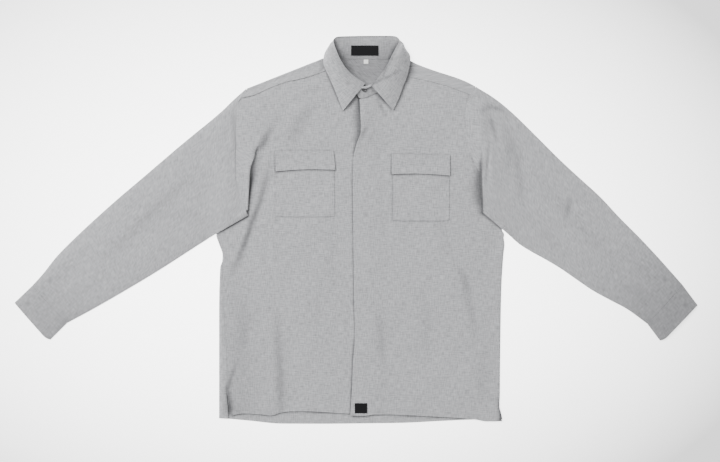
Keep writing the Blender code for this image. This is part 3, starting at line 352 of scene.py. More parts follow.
STAND_SHADES = (
    NECK_SHADE,
    (
        (20, 304, 0.8, 5), (6, 314, 0.6, 9), (-8, 325, 0.55, 10), (-24, 342, 0.5, 11), (-36, 366, 0.42, 9),
        (-44, 392, 0.5, 7),
    ),
    (
        (34, 306, 0.3, 5), (46, 318, 0.42, 6), (60, 338, 0.55, 8), (74, 363, 0.85, 8), (84, 382, 0.8, 8),
        (90, 396, 0.5, 6),
    ),
    ((32, 297.5, 0.45, 3.2), (38, 291, 0.45, 3.2)),
)
LEAF_SHADES = (
    ((57, 316, 0.3, 3), (63, 318, 0.45, 3), (68, 320, 0.4, 3), (80, 326, 0.3, 3), (92, 334, 0.1, 3)),
    ((33, 304, 0.4, 3), (46, 310, 0.35, 3), (57, 316, 0.35, 3)),
    ((58, 318, 0.3, 2.5), (60, 330, 0.4, 2.5), (63, 342, 0.2, 2.5)),
    ((-41, 380, 0.25, 9), (-33, 358, 0.3, 10), (-20, 338, 0.3, 9), (-5, 323, 0.15, 8)),
)
SLIT_SHADE = (
    (-268, -345, 0.3, 3), (-266.5, -358, 0.7, 4.5), (-265, -372, 0.82, 5.5), (-263.5, -384, 0.82, 5.5),
    (-263, -392, 0.15, 4),
)
HEM_SHADE_DEPTH, HEM_SHADE_WIDTH = 0.6, 2.6  # on the back, along the hems of the fronts
# painted shade for places in slightly less light, in the same columns
SIDE_FALLOFF_SHADE = ((-246, -60, 0.03, 30), (-246, -210, 0.14, 34), (-246, -400, 0.17, 38))
SLEEVE_END_SHADES = {
    "right": ((-705, -147, 0.2, 75), (-632, -210, 0.2, 75)),
    "left": ((716, -157, 0.39, 140), (641, -231, 0.39, 140)),
}

# the lip of the tab that lies over the button: x, y of its lower edge
LIP_EDGE = ((11, 296), (16, 296), (21.3, 295.6), (31.5, 299.8), (40, 306))
LIP_HEIGHT = 12.9
LIP_FROM = 36  # the station of the stand's grid where the tab starts
SEAM_DROP = 0.5  # how much closer the stand's thin cloth lies to the yoke than its solid does


def smoothstep(value):
    value = np.clip(value, 0, 1)
    return value * value * (3 - 2 * value)


def blend(first, second, share):
    return first + (second - first) * share


def steady_curve(places, values, at):
    """A smooth curve through the values that never swings past them."""
    rise = np.diff(values) / np.diff(places)
    slopes = np.empty(len(values))
    slopes[0], slopes[-1] = rise[0], rise[-1]
    before, after = rise[:-1], rise[1:]
    total = before + after
    same = before * after > 0
    slopes[1:-1] = np.where(same, 2 * before * after / np.where(same, total, 1), 0)
    at = np.clip(at, places[0], places[-1])
    row = np.clip(np.searchsorted(places, at) - 1, 0, len(places) - 2)
    step = places[row + 1] - places[row]
    s = (at - places[row]) / step
    start = (1 + 2 * s) * (1 - s) ** 2 * values[row] + s * (1 - s) ** 2 * step * slopes[row]
    end = s * s * (3 - 2 * s) * values[row + 1] + s * s * (s - 1) * step * slopes[row + 1]
    return start + end


def read(table, at, column=1):
    rows = np.array(table, float)
    return steady_curve(rows[:, 0], rows[:, column], np.asarray(at, float))


def along(points, shares):
    """Points at these shares of a line's length."""
    points = np.array(points, float)
    lengths = np.linalg.norm(np.diff(points, axis=0), axis=1)
    places = np.concatenate([[0], np.cumsum(lengths)]) / lengths.sum()
    shares = np.asarray(shares, float)
    return np.stack([steady_curve(places, points[:, i], shares) for i in range(points.shape[1])], -1)


def distance_to(line, x, y):
    """Distance from each place to a line, and the share of its length at the nearest point."""
    line = np.array(line, float)
    lengths = np.linalg.norm(np.diff(line, axis=0), axis=1)
    starts = np.concatenate([[0], np.cumsum(lengths)]) / lengths.sum()
    best = np.full(np.shape(x), 1e9)
    share = np.zeros(np.shape(x))
    for number, length in enumerate(lengths):
        (ax, ay), (bx, by) = line[number], line[number + 1]
        along_it = ((x - ax) * (bx - ax) + (y - ay) * (by - ay)) / length**2
        along_it = np.clip(along_it, 0, 1)
        away = np.hypot(x - ax - along_it * (bx - ax), y - ay - along_it * (by - ay))
        nearer = away < best
        best = np.where(nearer, away, best)
        share = np.where(nearer, blend(starts[number], starts[number + 1], along_it), share)
    return best, share


def fold_height(x, y, folds):
    """Height of soft folds, each fading out at both ends."""
    height = np.zeros(np.shape(x))
    for depth, width, line in folds:
        away, share = distance_to(line, x, y)
        fade = np.sqrt(np.clip(np.sin(math.pi * np.clip(share, 0.02, 0.98)), 0, 1))
        height = height + depth * fade * np.exp(-((away / width) ** 2))
    return height


def front_height(x, y):
    """Middle of the upper layer of the body, from its place."""
    sides = smoothstep((x - CHEST_LEFT) / 90) * smoothstep((CHEST_RIGHT - x) / 90)
    ends = smoothstep((y + 400) / 80) * smoothstep((read(YOKE_TOP, x) - y) / 60)
    neck = smoothstep((np.hypot(x - NECK_X, y - NECK_Y) - 60) / 60)
    return PANEL_RISE + PLUMP * sides * ends * neck + np.maximum(
        fold_height(x, y, FRONT_FOLDS) * sides**0.3, FLOOR_LAYER + LAP - PANEL_RISE
    )


def lap_height(x, y):
    """How much the left front is raised over the right front, with its lifted edge."""
    over = LAP * (1 - smoothstep((x - 36) / 24))
    lift = read(PLACKET_LIFT, y) * (y > PLACKET_LIFT[0][0])
    return over + lift * (1 - smoothstep((x - read(PLACKET_EDGE, y)) / 34))


def left_front_height(x, y):
    return front_height(x, y) + lap_height(x, y)


def body_rows(hem, top, hem_x, top_x):
    """y of each row and column, from the hem's and the top's curve."""
    low = [blend(read(hem, hem_x), SLIT_Y, share) for share in HEM_SHARES]
    middle = [np.full(np.shape(hem_x), float(y)) for y in BODY_Y]
    high = [blend(LAST_BODY_Y, read(top, top_x), share) for share in TOP_SHARES]
    return np.array(low + middle + high)


def turned(outline, inward, lengths):
    """Places along cloth that turns over a side fold, by the length from the fold's start.

    inward is +1 where the body lies at +X of the fold. A length under 0 is on the floor."""
    radius = (PANEL_RISE - FLOOR_LAYER) / 2
    angle = np.clip(lengths / radius, 0, math.pi)
    flat = np.maximum(-lengths, 0) + np.maximum(lengths - math.pi * radius, 0)
    x = outline + inward * (radius - radius * np.sin(angle) + flat)
    z = FLOOR_LAYER + radius - radius * np.cos(angle)
    return x, z


def right_front_grid():
    """Wearer's right front, with the fold of cloth beside the underarm."""
    main = np.array([0, 0.07, 0.15, 0.24, 0.33, 0.42, 0.51, 0.60, 0.69, 0.78, 0.88, 1])
    edge_count, fold_count, strip_count = 4, 5, 3
    columns = len(main) + edge_count + fold_count + strip_count

    def section(y):
        """x and z of every column at its own y."""
        fold_x, depth, rise, lift = (read(UNDERARM_FOLD, y, column) for column in (1, 2, 3, 4))
        width = read(BACK_STRIP, y)
        outline = read(OUTLINE_RIGHT_BODY, y)
        hidden = blend(outline, -249, smoothstep((y + 10) / 52))
        open_slit = read(FRONT_SLIT, y)
        x = np.zeros((len(y), columns))
        z = np.zeros((len(y), columns))
        below = smoothstep((42 - y) / 14)  # 1 where the side seam is, 0 in the folded rows
        edge_shift = np.array([15, 9, 4.5, 0])
        on_strip = smoothstep(width / 5)
        for number, shift in enumerate(edge_shift):
            c = len(main) + number
            seam_side = outline + width + open_slit + SEAM / 2 + shift
            length = HALF_TURN / 2 + 2 * SEAM + shift * (HALF_TURN / 2 + 4) / 15
            turned_x, turned_z = turned(outline, 1, length + 0 * y)
            side_x = blend(turned_x, seam_side, on_strip)
            side_z = blend(turned_z, PANEL_RISE, on_strip) - PANEL_RISE
            free = smoothstep((y + 10) / 30)
            side_x = blend(side_x, hidden + shift, free)
            side_z = blend(side_z, 0, free)
            under = np.array([2, -0.35, -0.72, -1])[number]
            fold_side = fold_x + np.where(under > 0, under, under * np.maximum(depth, 0))
            ramp = fold_x + 8 - 3 * number
            state = smoothstep((depth + 2) / 8)
            fold_side = blend(ramp, fold_side, state)
            fold_z = (1 - state) * rise * smoothstep(number / 8)
            x[:, c] = blend(fold_side, side_x, below)
            z[:, c] = blend(fold_z, side_z, below)
        state = smoothstep((depth + 2) / 8)
        folded = np.array(
            [
                (fold_x - depth - 0.7, 0.7 + 0 * y),
                (fold_x - depth, 1.4 + 0 * y),
                (fold_x - 1.2, rise + lift - 1.5),
                (fold_x + 0.6, rise + lift - 0.7),
                (fold_x - 0.4, rise + lift),
            ]
        )
        for number in range(fold_count):
            c = len(main) + edge_count + number
            ramp = fold_x + 8 - 3 * (edge_count + number)
            x[:, c] = blend(ramp, folded[number, 0], state)
            z[:, c] = blend(rise * smoothstep((edge_count + number) / 8), folded[number, 1], state)
        start = x[:, len(main) + edge_count + fold_count - 1]
        seam = read(ARMHOLE_RIGHT, y)
        for number, share in enumerate((0.3, 0.65, 1)):
            c = columns - strip_count + number
            x[:, c] = blend(start, seam, share)
            z[:, c] = rise + lift * (1 - share) ** 2
        last = x[:, len(main)] + 6
        for number, share in enumerate(main):
            x[:, number] = blend(OVERLAP_X, last, share)
        return x, z

    hem_x = section(np.full(1, -385.0))[0][0]
    top_x = section(np.full(1, 300.0))[0][0]
    y = body_rows(RIGHT_FRONT_HEM, RIGHT_FRONT_TOP, hem_x, top_x)
    x = np.zeros_like(y)
    z = np.zeros_like(y)
    for c in range(columns):
        column_x, column_z = section(y[:, c])
        x[:, c], z[:, c] = column_x[:, c], column_z[:, c]
    z += front_height(x, y)
    side = len(main) + edge_count
    seam_rows = slice(0, len(HEM_SHARES) + BODY_Y.index(-52) + 1)
    z[seam_rows, side - 2 : side] = np.minimum(z[seam_rows, side - 2 : side], PANEL_RISE)
    keep = np.ones((len(y) - 1, columns - 1), bool)
    keep[:STRIP_ROW, side - 1 :] = False
    return np.stack([x, y, z], -1), keep


def left_front_grid():
    """Wearer's left front: placket edge, overlap, and a side that wraps under."""
    main = np.array([0, 0.025, 0.06, 0.11, 0.17, 0.25, 0.34, 0.43, 0.52, 0.61, 0.7, 0.79, 0.87, 0.94, 1])
    edge_count = 5
    columns = len(main) + edge_count
    wrapped_at = np.array([HALF_TURN + 6, HALF_TURN, HALF_TURN / 2, 0, -UNDER_WRAP])
    flat_at = np.array([9, 6.5, 4, 2, SEAM / 2])

    def section(y):
        outline = read(OUTLINE_LEFT_BODY, y)
        free_edge = np.where(y > 0, read(ARMHOLE_LEFT, y), outline - 2.5 + smoothstep((-380 - y) / 20))
        wrap = smoothstep((y + 366) / 14) * (1 - smoothstep((y + 34) / 26))
        x = np.zeros((len(y), columns))
        drop = np.zeros((len(y), columns))
        for number in range(edge_count):
            c = len(main) + number
            turned_x, turned_z = turned(outline, -1, wrapped_at[number] + 0 * y)
            x[:, c] = blend(free_edge - flat_at[number], turned_x, wrap)
            drop[:, c] = blend(0, turned_z - PANEL_RISE, wrap)
        start = read(PLACKET_EDGE, y)
        for number, share in enumerate(main):
            x[:, number] = blend(start, x[:, len(main)] - 6, share)
        return x, drop

    hem_x = section(np.full(1, -390.0))[0][0]
    top_x = section(np.full(1, 280.0))[0][0]
    y = body_rows(LEFT_FRONT_HEM, LEFT_FRONT_TOP, hem_x, top_x)
    x = np.zeros_like(y)
    z = np.zeros_like(y)
    for c in range(columns):
        column_x, column_drop = section(y[:, c])
        x[:, c], z[:, c] = column_x[:, c], column_drop[:, c]
    height = left_front_height(x, y)
    side = slice(len(main) + 1, None)
    height[:, side] = np.where(z[:, side] < -0.01, PANEL_RISE, height[:, side])
    return np.stack([x, y, z + height], -1)


def back_grid():
    """Back panel on the floor, wrapping over to the front on the wearer's right."""
    inner = np.array([0.02, 0.1, 0.22, 0.36, 0.5, 0.64, 0.78, 0.9, 0.98])
    columns = 5 + len(inner) + 1

    def section(y):
        outline = read(OUTLINE_RIGHT_BODY, y)
        width = read(BACK_STRIP, y)
        on_strip = smoothstep(width / 5)
        armhole = smoothstep((y + 10) / 30)
        seam_at = HALF_TURN + np.maximum(width - FOLD_RADIUS, 0) - SEAM / 2
        middle = blend(HALF_TURN, seam_at, 0.5)
        with_strip = [seam_at, middle, HALF_TURN + 0 * y, HALF_TURN / 2 + 0 * y, 0 * y]
        without = [HALF_TURN / 2 - 2 * SEAM, 0.3, -2, -5, -9]
        x = np.zeros((len(y), columns))
        z = np.zeros((len(y), columns))
        for number in range(5):
            length = blend(without[number], with_strip[number], on_strip)
            side_x, side_z = turned(outline, 1, length)
            flat_x = read(BACK_ARMHOLE_RIGHT, y) + (0, 2.5, 5, 7.5, 10)[number]
            x[:, number] = blend(side_x, flat_x, armhole)
            z[:, number] = blend(side_z, FLOOR_LAYER, armhole)
        wrapped = read(OUTLINE_LEFT_BODY, y) - FOLD_RADIUS - UNDER_WRAP - SEAM
        slit = read(OUTLINE_LEFT_BODY, y)
        right = blend(slit, wrapped, smoothstep((y + 382) / 14))
        right = blend(right, read(BACK_ARMHOLE_LEFT, y), smoothstep((y + 8) / 18))
        for number, share in enumerate(inner):
            x[:, 5 + number] = blend(x[:, 4], right, share)
            z[:, 5 + number] = FLOOR_LAYER
        x[:, -1] = right
        z[:, -1] = FLOOR_LAYER
        return x, z

    hem_x = section(np.full(1, -395.0))[0][0]
    y = body_rows(BACK_HEM, ((-300, YOKE_SEAM_Y), (300, YOKE_SEAM_Y)), hem_x, hem_x)
    x = np.zeros_like(y)
    z = np.zeros_like(y)
    for c in range(columns):
        column_x, column_z = section(y[:, c])
        x[:, c], z[:, c] = column_x[:, c], column_z[:, c]
    return np.stack([x, y, z], -1)


def yoke_grid():
    """Yoke: from the back seam up, over the shoulder folds and down to the front seams."""
    right_end = np.array([-242.5, -240, -235, -230, -228.5, -228.3, -228.5, -231, -234, -237.5])
    left_end = np.array([249.5, 250, 251, 251, 250.8, 250.6, 250.6, 248, 244, 240.5])
    up_back = np.array([0, 0.35, 0.75, 0.96, 1])
    stations = np.array(YOKE_STATIONS)
    neck_columns = np.array([0, 0.2, 0.4, 0.6, 1, 1, 1, 0.67, 0.33, 0])
    right_neck = blend(NECK_SHOULDER_RIGHT[1], NECK_SHOULDER_RIGHT[0], neck_columns)
    left_neck = blend(NECK_SHOULDER_LEFT[1], NECK_SHOULDER_LEFT[0], neck_columns)
    right_neck[:5], left_neck[:5] = NECK_SHOULDER_RIGHT[0], NECK_SHOULDER_LEFT[0]
    marks = stations[[0, NECK_FIRST, NECK_LAST, -1]]
    grid = np.zeros((len(stations), 10, 3))
    for c in range(10):
        x = np.interp(stations, marks, [right_end[c], right_neck[c], left_neck[c], left_end[c]])
        fold = read(YOKE_TOP, x)
        seam = read(YOKE_FRONT, x)
        if c < 5:
            beside_neck = (x < right_neck[c] + 0.1) | (x > left_neck[c] - 0.1)
            end = fold - np.where(beside_neck, FOLD_RADIUS, 0)
            y = blend(YOKE_SEAM_Y + SEAM, end, up_back[c])
            z = np.full(len(x), FLOOR_LAYER)
        elif c == 5:
            y = fold
            z = np.full(len(x), FLOOR_LAYER + FOLD_RADIUS)
        else:
            share = (0, 0.33, 0.67, 1)[c - 6]
            y = blend(fold - FOLD_RADIUS, seam - 1.5, share)
            z = front_height(x, y) + (0, 0, 0.6, 1)[c - 6] * LAP
        grid[:, c] = np.stack([x, y, z], -1)
    keep = np.ones((len(stations) - 1, 9), bool)
    keep[NECK_FIRST:NECK_LAST, 4:] = False
    return grid, keep


def crown(shares, height):
    """Rounded upper half of a flattened tube."""
    return FLOOR_LAYER + height * (1 - np.abs(2 * np.asarray(shares) - 1) ** 2.6) ** 0.55


def sleeve_station(upper, lower, lift, under_lift, under_xy=None, height=SLEEVE_CROWN):
    """One loop of a sleeve: over the top from its upper edge, back underneath."""
    top_shares, under_shares = np.array(TOP_ROUND), np.array(UNDER_ROUND)
    top_xy = blend(upper, lower, top_shares[:, None])
    if under_xy is None:
        under_xy = blend(upper, lower, under_shares[:, None])
    top_z = crown(top_shares, height) + lift(top_xy[:, 0], top_xy[:, 1])
    under_z = FLOOR_LAYER + under_lift(under_xy[:, 0], under_xy[:, 1])
    top_z[0] = FLOOR_LAYER + 0.7
    top_z[-1] = FLOOR_LAYER + 0.7 + under_lift(*lower)
    top = np.concatenate([top_xy, top_z[:, None]], 1)
    under = np.concatenate([under_xy, under_z[:, None]], 1)
    return np.concatenate([top, under])


def sleeve_loops(upper_edge, lower_edge, lift, under_lift, last_under):
    """Loops from the cuff seam up, the last ones bending round the underarm."""
    uppers, lowers = along(upper_edge, SLEEVE_STEPS), along(lower_edge, SLEEVE_STEPS)
    shares = np.array(UNDER_ROUND)[:, None]
    straight = blend(uppers[BEND_FROM], lowers[BEND_FROM], shares)
    bent = along(last_under, 1 - shares[:, 0])[:, :2]
    ends = np.array(last_under, float)[:, :2]
    loops = []
    for number, (upper, lower) in enumerate(zip(uppers, lowers)):
        under_xy = None
        if number > BEND_FROM:
            share = (len(uppers) - number) / (len(uppers) - BEND_FROM)
            under_xy = blend(bent, straight, share)
            under_xy += (lower - blend(ends[0], lowers[BEND_FROM], share)) * shares**4
            under_xy += (upper - blend(ends[-1], uppers[BEND_FROM], share)) * (1 - shares) ** 4
        loops.append(sleeve_station(upper, lower, lift, under_lift, under_xy))
    return loops


def end_station(top_line, under_line):
    """The loop of a sleeve's armhole, from two lines of points."""
    return np.concatenate([along(top_line, TOP_ROUND), along(under_line, 1 - np.array(UNDER_ROUND))])


def right_sleeve_grid():
    body_edge = ((-303, -16), (-296, 30), (-282, 70), (-268, 120))

    def rise(x, y):
        return (read(UNDERARM_FOLD, y, 3) + 0.8) * smoothstep((x + 330) / 80)

    def under_lift(x, y):
        away, _ = distance_to(body_edge, x, y)
        inside = x > read([(py, px) for px, py in body_edge], y)
        on_body = np.where(inside, 1, 1 - smoothstep(away / EDGE_EASE))
        return ON_BODY_LIFT * on_body * smoothstep((90 - y) / 30)

    seam_y = np.array([268, 253, 237, 215, 190, 165, 140, 118, 95, 71, 50])
    seam_x = read(ARMHOLE_RIGHT, seam_y) + 2
    seam_z = front_height(seam_x, seam_y) + LAP + 0.5 + read(UNDERARM_FOLD, seam_y, 3)
    yoke_end = [(-229.7, 296.8, 1.7), (-232.7, 291, 3.0), (-235.8, 285, 3.7), (-239.6, 278, 4.7)]
    top = [*yoke_end, *zip(seam_x, seam_y, seam_z), (-229, 38, 9.2), (-226, 31, 5.8)]
    under = [
        (-226, 31, 5.8), (-240, 29, 4.9), (-262, 27, 4.6), (-282, 29, 4.2), (-294, 40, 0.6),
        (-287, 60, 0.5), (-277, 90, 0.5), (-268, 122, 0.5), (-257, 180, 0.5), (-247.5, 240, 0.5),
        (-240, 275, 0.5), (-229.7, 296.8, 1.7),
    ]
    loops = sleeve_loops(SLEEVE_RIGHT_UPPER, SLEEVE_RIGHT_LOWER, rise, under_lift, under)
    loops.append(end_station(top, under))
    return np.array(loops)


def left_sleeve_grid():
    body_edge = ((318, -12), (305, 32), (294, 75), (279, 120))

    def lift(x, y):
        return 4.6 * smoothstep((345 - x) / 80) * smoothstep((205 - y) / 55)

    def under_lift(x, y):
        away, _ = distance_to(body_edge, x, y)
        inside = x < read([(py, px) for px, py in body_edge], y)
        on_body = np.where(inside, 1, 1 - smoothstep(away / EDGE_EASE))
        return ON_BODY_LIFT * on_body * smoothstep((100 - y) / 30)

    flap_top = [
        (254, 299, 2.0), (256, 285, 4.6), (257, 262, 6.0), (258, 230, 6.8), (260, 190, 7.4),
        (262, 156, 8.0), (265, 105, 8.4), (266, 73, 8.0), (267, 45, 7.6), (267, 37, 5.6),
    ]
    flap_under = [
        (267, 37, 5.6), (283, 44, 5.0), (301, 54, 4.4), (314, 70, 0.7), (304, 100, 0.5),
        (290, 134, 0.5), (276, 194, 0.5), (264, 250, 0.5), (258, 282, 0.5), (254, 299, 1.6),
    ]
    loops = sleeve_loops(SLEEVE_LEFT_UPPER, SLEEVE_LEFT_LOWER, lift, under_lift, flap_under)
    seam_y = np.array([272, 258, 244, 220, 194, 172, 153, 134, 122, 110, 92, 75, 55])
    seam_x = read(ARMHOLE_LEFT, seam_y) - 2
    seam_z = left_front_height(seam_x, seam_y) + LAP
    yoke_end = [(252.3, 300.5, 1.7), (250.3, 296, 3.2), (246.6, 290, 3.8), (242.8, 284, 4.8)]
    seam_top = [*yoke_end, *zip(seam_x, seam_y, seam_z), (302.5, 33, 4.3)]
    seam_under = [
        (302.5, 33, 4.3), (305, 43, 4.3), (300, 58, 1.2), (296, 70, 0.5), (291, 85, 0.5), (277.5, 120, 0.5),
        (264.5, 180, 0.5), (254.5, 240, 0.5), (252.5, 280, 0.5), (252.3, 300.5, 1.7),
    ]
    flap, seam = end_station(flap_top, flap_under), end_station(seam_top, seam_under)
    top_count = len(TOP_ROUND)
    shares = np.concatenate([TOP_ROUND, np.zeros(len(UNDER_ROUND))])
    folded = smoothstep((shares - 0.48) / 0.12)
    folded[top_count:] = 0
    folded[top_count - 1] = 0
    for reach, inset, drop in ((0.0, 1.2, 0.0), (0.12, 0.0, 1.0), (0.3, 1.4, 2.1), (0.55, 6.0, 2.6)):
        open_way = blend(flap, seam, reach)
        under_way = flap + np.stack([inset + 0 * shares, 0 * shares, -drop + 0 * shares], -1)
        near_seam = np.minimum(under_way[:, 0], seam[:, 0] - 1.5)
        under_way[:, 0] = np.where(reach > 0.4, np.maximum(flap[:, 0] + 1, near_seam), under_way[:, 0])
        loops.append(blend(open_way, under_way, folded[:, None]))
    loops.append(seam)
    return np.array(loops)


def flat_on_floor(x, y):
    return 0 * np.asarray(x, float)


def cuff_grid(sleeve_loop, end):
    """Closed band from the sleeve's first loop to the cuff's end, one corner rounded."""
    upper, lower = np.array(end[0], float), np.array(end[1], float)
    far = sleeve_station(upper, lower, flat_on_floor, flat_on_floor, height=CUFF_CROWN)
    near = sleeve_loop.copy()
    inward = far.mean(axis=0) - near.mean(axis=0)
    inward /= np.linalg.norm(inward)
    near[:, :2] += inward[:2] * SEAM
    shares = np.concatenate([TOP_ROUND, UNDER_ROUND])
    rounded = CUFF_CORNER * np.clip((shares - 0.86) / 0.14, 0, 1) ** 2
    loops = []
    for step in (0, 0.4, 0.72, 1):
        loop = blend(near, far, step)
        if step == 1:
            loop[:, :2] -= inward[:2] * rounded[:, None]
        loops.append(loop)
    return np.array(loops)


def pocket_grid(side, height):
    low_x, high_x, bottom = POCKETS[side]["bag"]
    top = POCKETS[side]["flap"][0][1] - 8
    across, up = np.linspace(0, 1, 6), np.linspace(0, 1, 6)
    x = blend(low_x, high_x, across)[None, :] + 0 * up[:, None]
    lift = np.where((across == 0) | (across == 1), POCKET_CORNER, 0)
    y = blend(bottom + lift[None, :], top, up[:, None])
    return np.stack([x, y, height(x, y) + LAP], -1)


def flap_grid(side, height):
    top_left, top_right, low_right, low_left = np.array(POCKETS[side]["flap"], float)
    across, down = np.linspace(0, 1, 9), np.linspace(0, 1, 4)
    upper = blend(top_left, top_right, across[:, None])
    lower = blend(low_left, low_right, across[:, None])
    lower[:, 1] += FLAP_BOW * np.sin(math.pi * across)
    xy = np.array([blend(upper, lower, share) for share in down])
    z = height(xy[..., 0], xy[..., 1]) + 2 * LAP + 0.9 * down[:, None] ** 2
    return np.concatenate([xy, z[..., None]], -1)


def between(rows, count):
    """Rows at even steps between the given ones, on smooth curves."""
    rows = np.array(rows, float)
    places = np.arange(len(rows), dtype=float)
    at = np.linspace(0, len(rows) - 1, (len(rows) - 1) * count + 1)
    return np.stack([steady_curve(places, rows[:, i], at) for i in range(rows.shape[1])], -1)


def stand_grid():
    neck_rows = [(*row[0:6], row[13]) for row in COLLAR] + [(*row, 0) for row in TAB]
    rows = between(neck_rows, 2)
    loops = []
    for step in STAND_STEPS:
        points = blend(rows[:, 0:3], rows[:, 3:6], step)
        points[:, 2] += rows[:, 6] * math.sin(math.pi * min(step, 1))
        loops.append(points)
    return np.stack(loops, 1)


def leaf_grid():
    rows = between(COLLAR, 2)
    roll, middle, edge, turn = rows[:, 3:6], rows[:, 6:9], rows[:, 9:12], rows[:, 12:13]
    away = middle - roll
    away /= np.linalg.norm(away, axis=1)[:, None]
    outward = roll - rows[:, 0:3]
    outward[:, 2] = 0
    outward /= np.linalg.norm(outward, axis=1)[:, None]
    down = np.array([0, 0, 1.0])
    first = roll + blend(1.1 * down - 0.6 * outward, 0.5 * outward, turn)
    ridge = roll + blend(away * 2.0 + 1.0 * down, outward * 1.7 - 0.7 * down, turn)
    over = roll + blend(away * 5.5 + 0.2 * down, -0.6 * outward - 1.35 * down, turn)
    over[:, 2] = np.maximum(over[:, 2], FLOOR_LAYER)
    columns = [first, ridge, over]
    for step in LEAF_STEPS[1:]:
        curve = (1 - step) * (1 - 2 * step) * over + 4 * step * (1 - step) * middle
        curve += step * (2 * step - 1) * edge
        curve[:, 2] = np.maximum(curve[:, 2], FLOOR_LAYER)
        columns.append(curve)
    return np.stack(columns, 1)


def on_stand(x, y):
    return 0 * x + STAND_HEIGHT


def on_yoke(x, y):
    return 0 * x + FLOOR_LAYER


def label_grid(place, height):
    low_x, high_x, low_y, high_y = place
    x, y = np.meshgrid([low_x, blend(low_x, high_x, 0.5), high_x], [low_y, high_y])
    return np.stack([x, y, height(x, y) + (CLOTH + LABEL_THICK) / 2 + SEAM], -1)


# how fine the cloth's grids are, in millimetres
FRONT_CELL, BACK_CELL, YOKE_CELL, SLEEVE_CELL = 2.7, 4.5, 3.0, 3.6
POCKET_CELL, COLLAR_CELL, LABEL_CELL = 2.4, 2.2, 1.0
EDGE_CELL = 1.1  # along a panel's edges
POCKET_LIFT = 0.85  # from the middle of the front to the middle of the pocket, and on to its flap

# creases of each panel: depth, half width, then points of the line
RIGHT_CREASES = (
    (-1.1, 7, ((-166, 228), (-178, 207), (-192, 186), (-207, 164))),
    (-0.9, 13, ((-88, 262), (-106, 238), (-122, 212), (-140, 180))),
    (-0.6, 5, ((-62, 296), (-90, 290), (-128, 279))),
    (-0.4, 8, ((-150, 258), (-160, 236), (-168, 216))),
    (-1.3, 8, ((-164, -168), (-161, -240), (-160, -310), (-157, -383))),
    (0.5, 9, ((-150, -190), (-148, -260), (-146, -372))),
    (-0.5, 12, ((-236, -150), (-232, -210), (-240, -268))),
    (-0.4, 10, ((-72, -90), (-80, -150), (-78, -230))),
    (-0.35, 14, ((-40, 20), (-52, -60), (-50, -140))),
)
LEFT_CREASES = (
    (-1.1, 5, ((46, 282), (53, 264), (59, 248), (68, 230))),
    (-1.3, 5, ((27, 219), (18, 202), (8, 186))),
    (0.6, 7, ((36, 214), (28, 196), (18, 178))),
    (-0.9, 9, ((50, -178), (55, -220), (59, -285))),
    (-0.9, 8, ((214, -72), (228, -100), (243, -136))),
    (-0.9, 9, ((224, -98), (238, -150), (251, -212))),
    (-0.9, 4, ((242, 164), (249, 150), (246, 138))),
    (-0.5, 12, ((140, -120), (150, -200), (146, -290))),
    (-0.45, 16, ((190, 70), (182, 0), (196, -60))),
    (-0.4, 14, ((272, -230), (266, -300), (272, -360))),
)
YOKE_CREASES = (
    (-0.6, 3.5, ((-66, 342), (-74, 331), (-82, 320))),
    (-0.4, 6, ((120, 336), (134, 328), (152, 322))),
)
RIGHT_SLEEVE_CREASES = (
    (-0.9, 6, ((-452, 104), (-440, 108), (-424, 120))),
    (-1.0, 14, ((-330, 120), (-400, 60), (-470, -10), (-540, -80))),
    (0.8, 16, ((-300, 150), (-380, 85), (-450, 25), (-520, -40))),
    (-0.7, 12, ((-560, -40), (-600, -90), (-630, -130))),
    (-0.8, 10, ((-300, 10), (-340, 30), (-390, 30), (-430, 0))),
    (-0.8, 9, ((-268, 225), (-278, 190), (-282, 150))),
    (0.6, 10, ((-250, 60), (-268, 110), (-280, 160))),
    (-0.6, 9, ((-590, -150), (-560, -120), (-520, -96))),
    (-0.6, 8, ((-655, -125), (-630, -106), (-600, -70))),
)
LEFT_SLEEVE_CREASES = (
    (-1.4, 9, ((306, 230), (330, 190), (343, 150), (348, 108), (355, 44))),
    (-1.1, 5, ((264, 252), (286, 259), (307, 249), (324, 238))),
    (-1.0, 6, ((283, 232), (288, 214), (294, 192))),
    (-0.9, 4, ((277, 178), (276, 150), (277, 106))),
    (0.8, 5, ((284, 178), (283, 150), (284, 106))),
    (-0.9, 8, ((312, 202), (324, 176), (336, 148))),
    (-1.2, 6, ((452, 70), (447, 50), (441, 24))),
    (-0.9, 12, ((400, 100), (450, 30), (510, -30), (560, -90))),
    (0.8, 14, ((380, 140), (440, 70), (500, 10), (550, -50))),
    (-0.8, 10, ((640, -110), (610, -90), (570, -50))),
    (-0.7, 9, ((620, -160), (590, -130), (550, -110))),
    (-0.8, 12, ((340, 20), (370, 20), (410, -20), (440, -60))),
)
BACK_CREASES = (
    (0.5, 14, ((-150, 210), (-120, 120), (-140, 10))),
    (0.6, 12, ((120, 220), (150, 130), (130, 40))),
    (0.5, 16, ((-60, -80), (-40, -180), (-70, -300))),
    (0.5, 13, ((180, -90), (160, -190), (190, -310))),
    (0.4, 11, ((-220, -120), (-200, -210), (-230, -290))),
)

# slow waves that keep a panel from looking pressed: height, wave length x, wave length y, start
WAVES = ((0.22, 173, 241, 0.4), (0.16, 97, -131, 2.1), (0.10, -61, 83, 4.4))

RIGHT_MAIN_COLUMNS = 12  # columns of the right front before its side

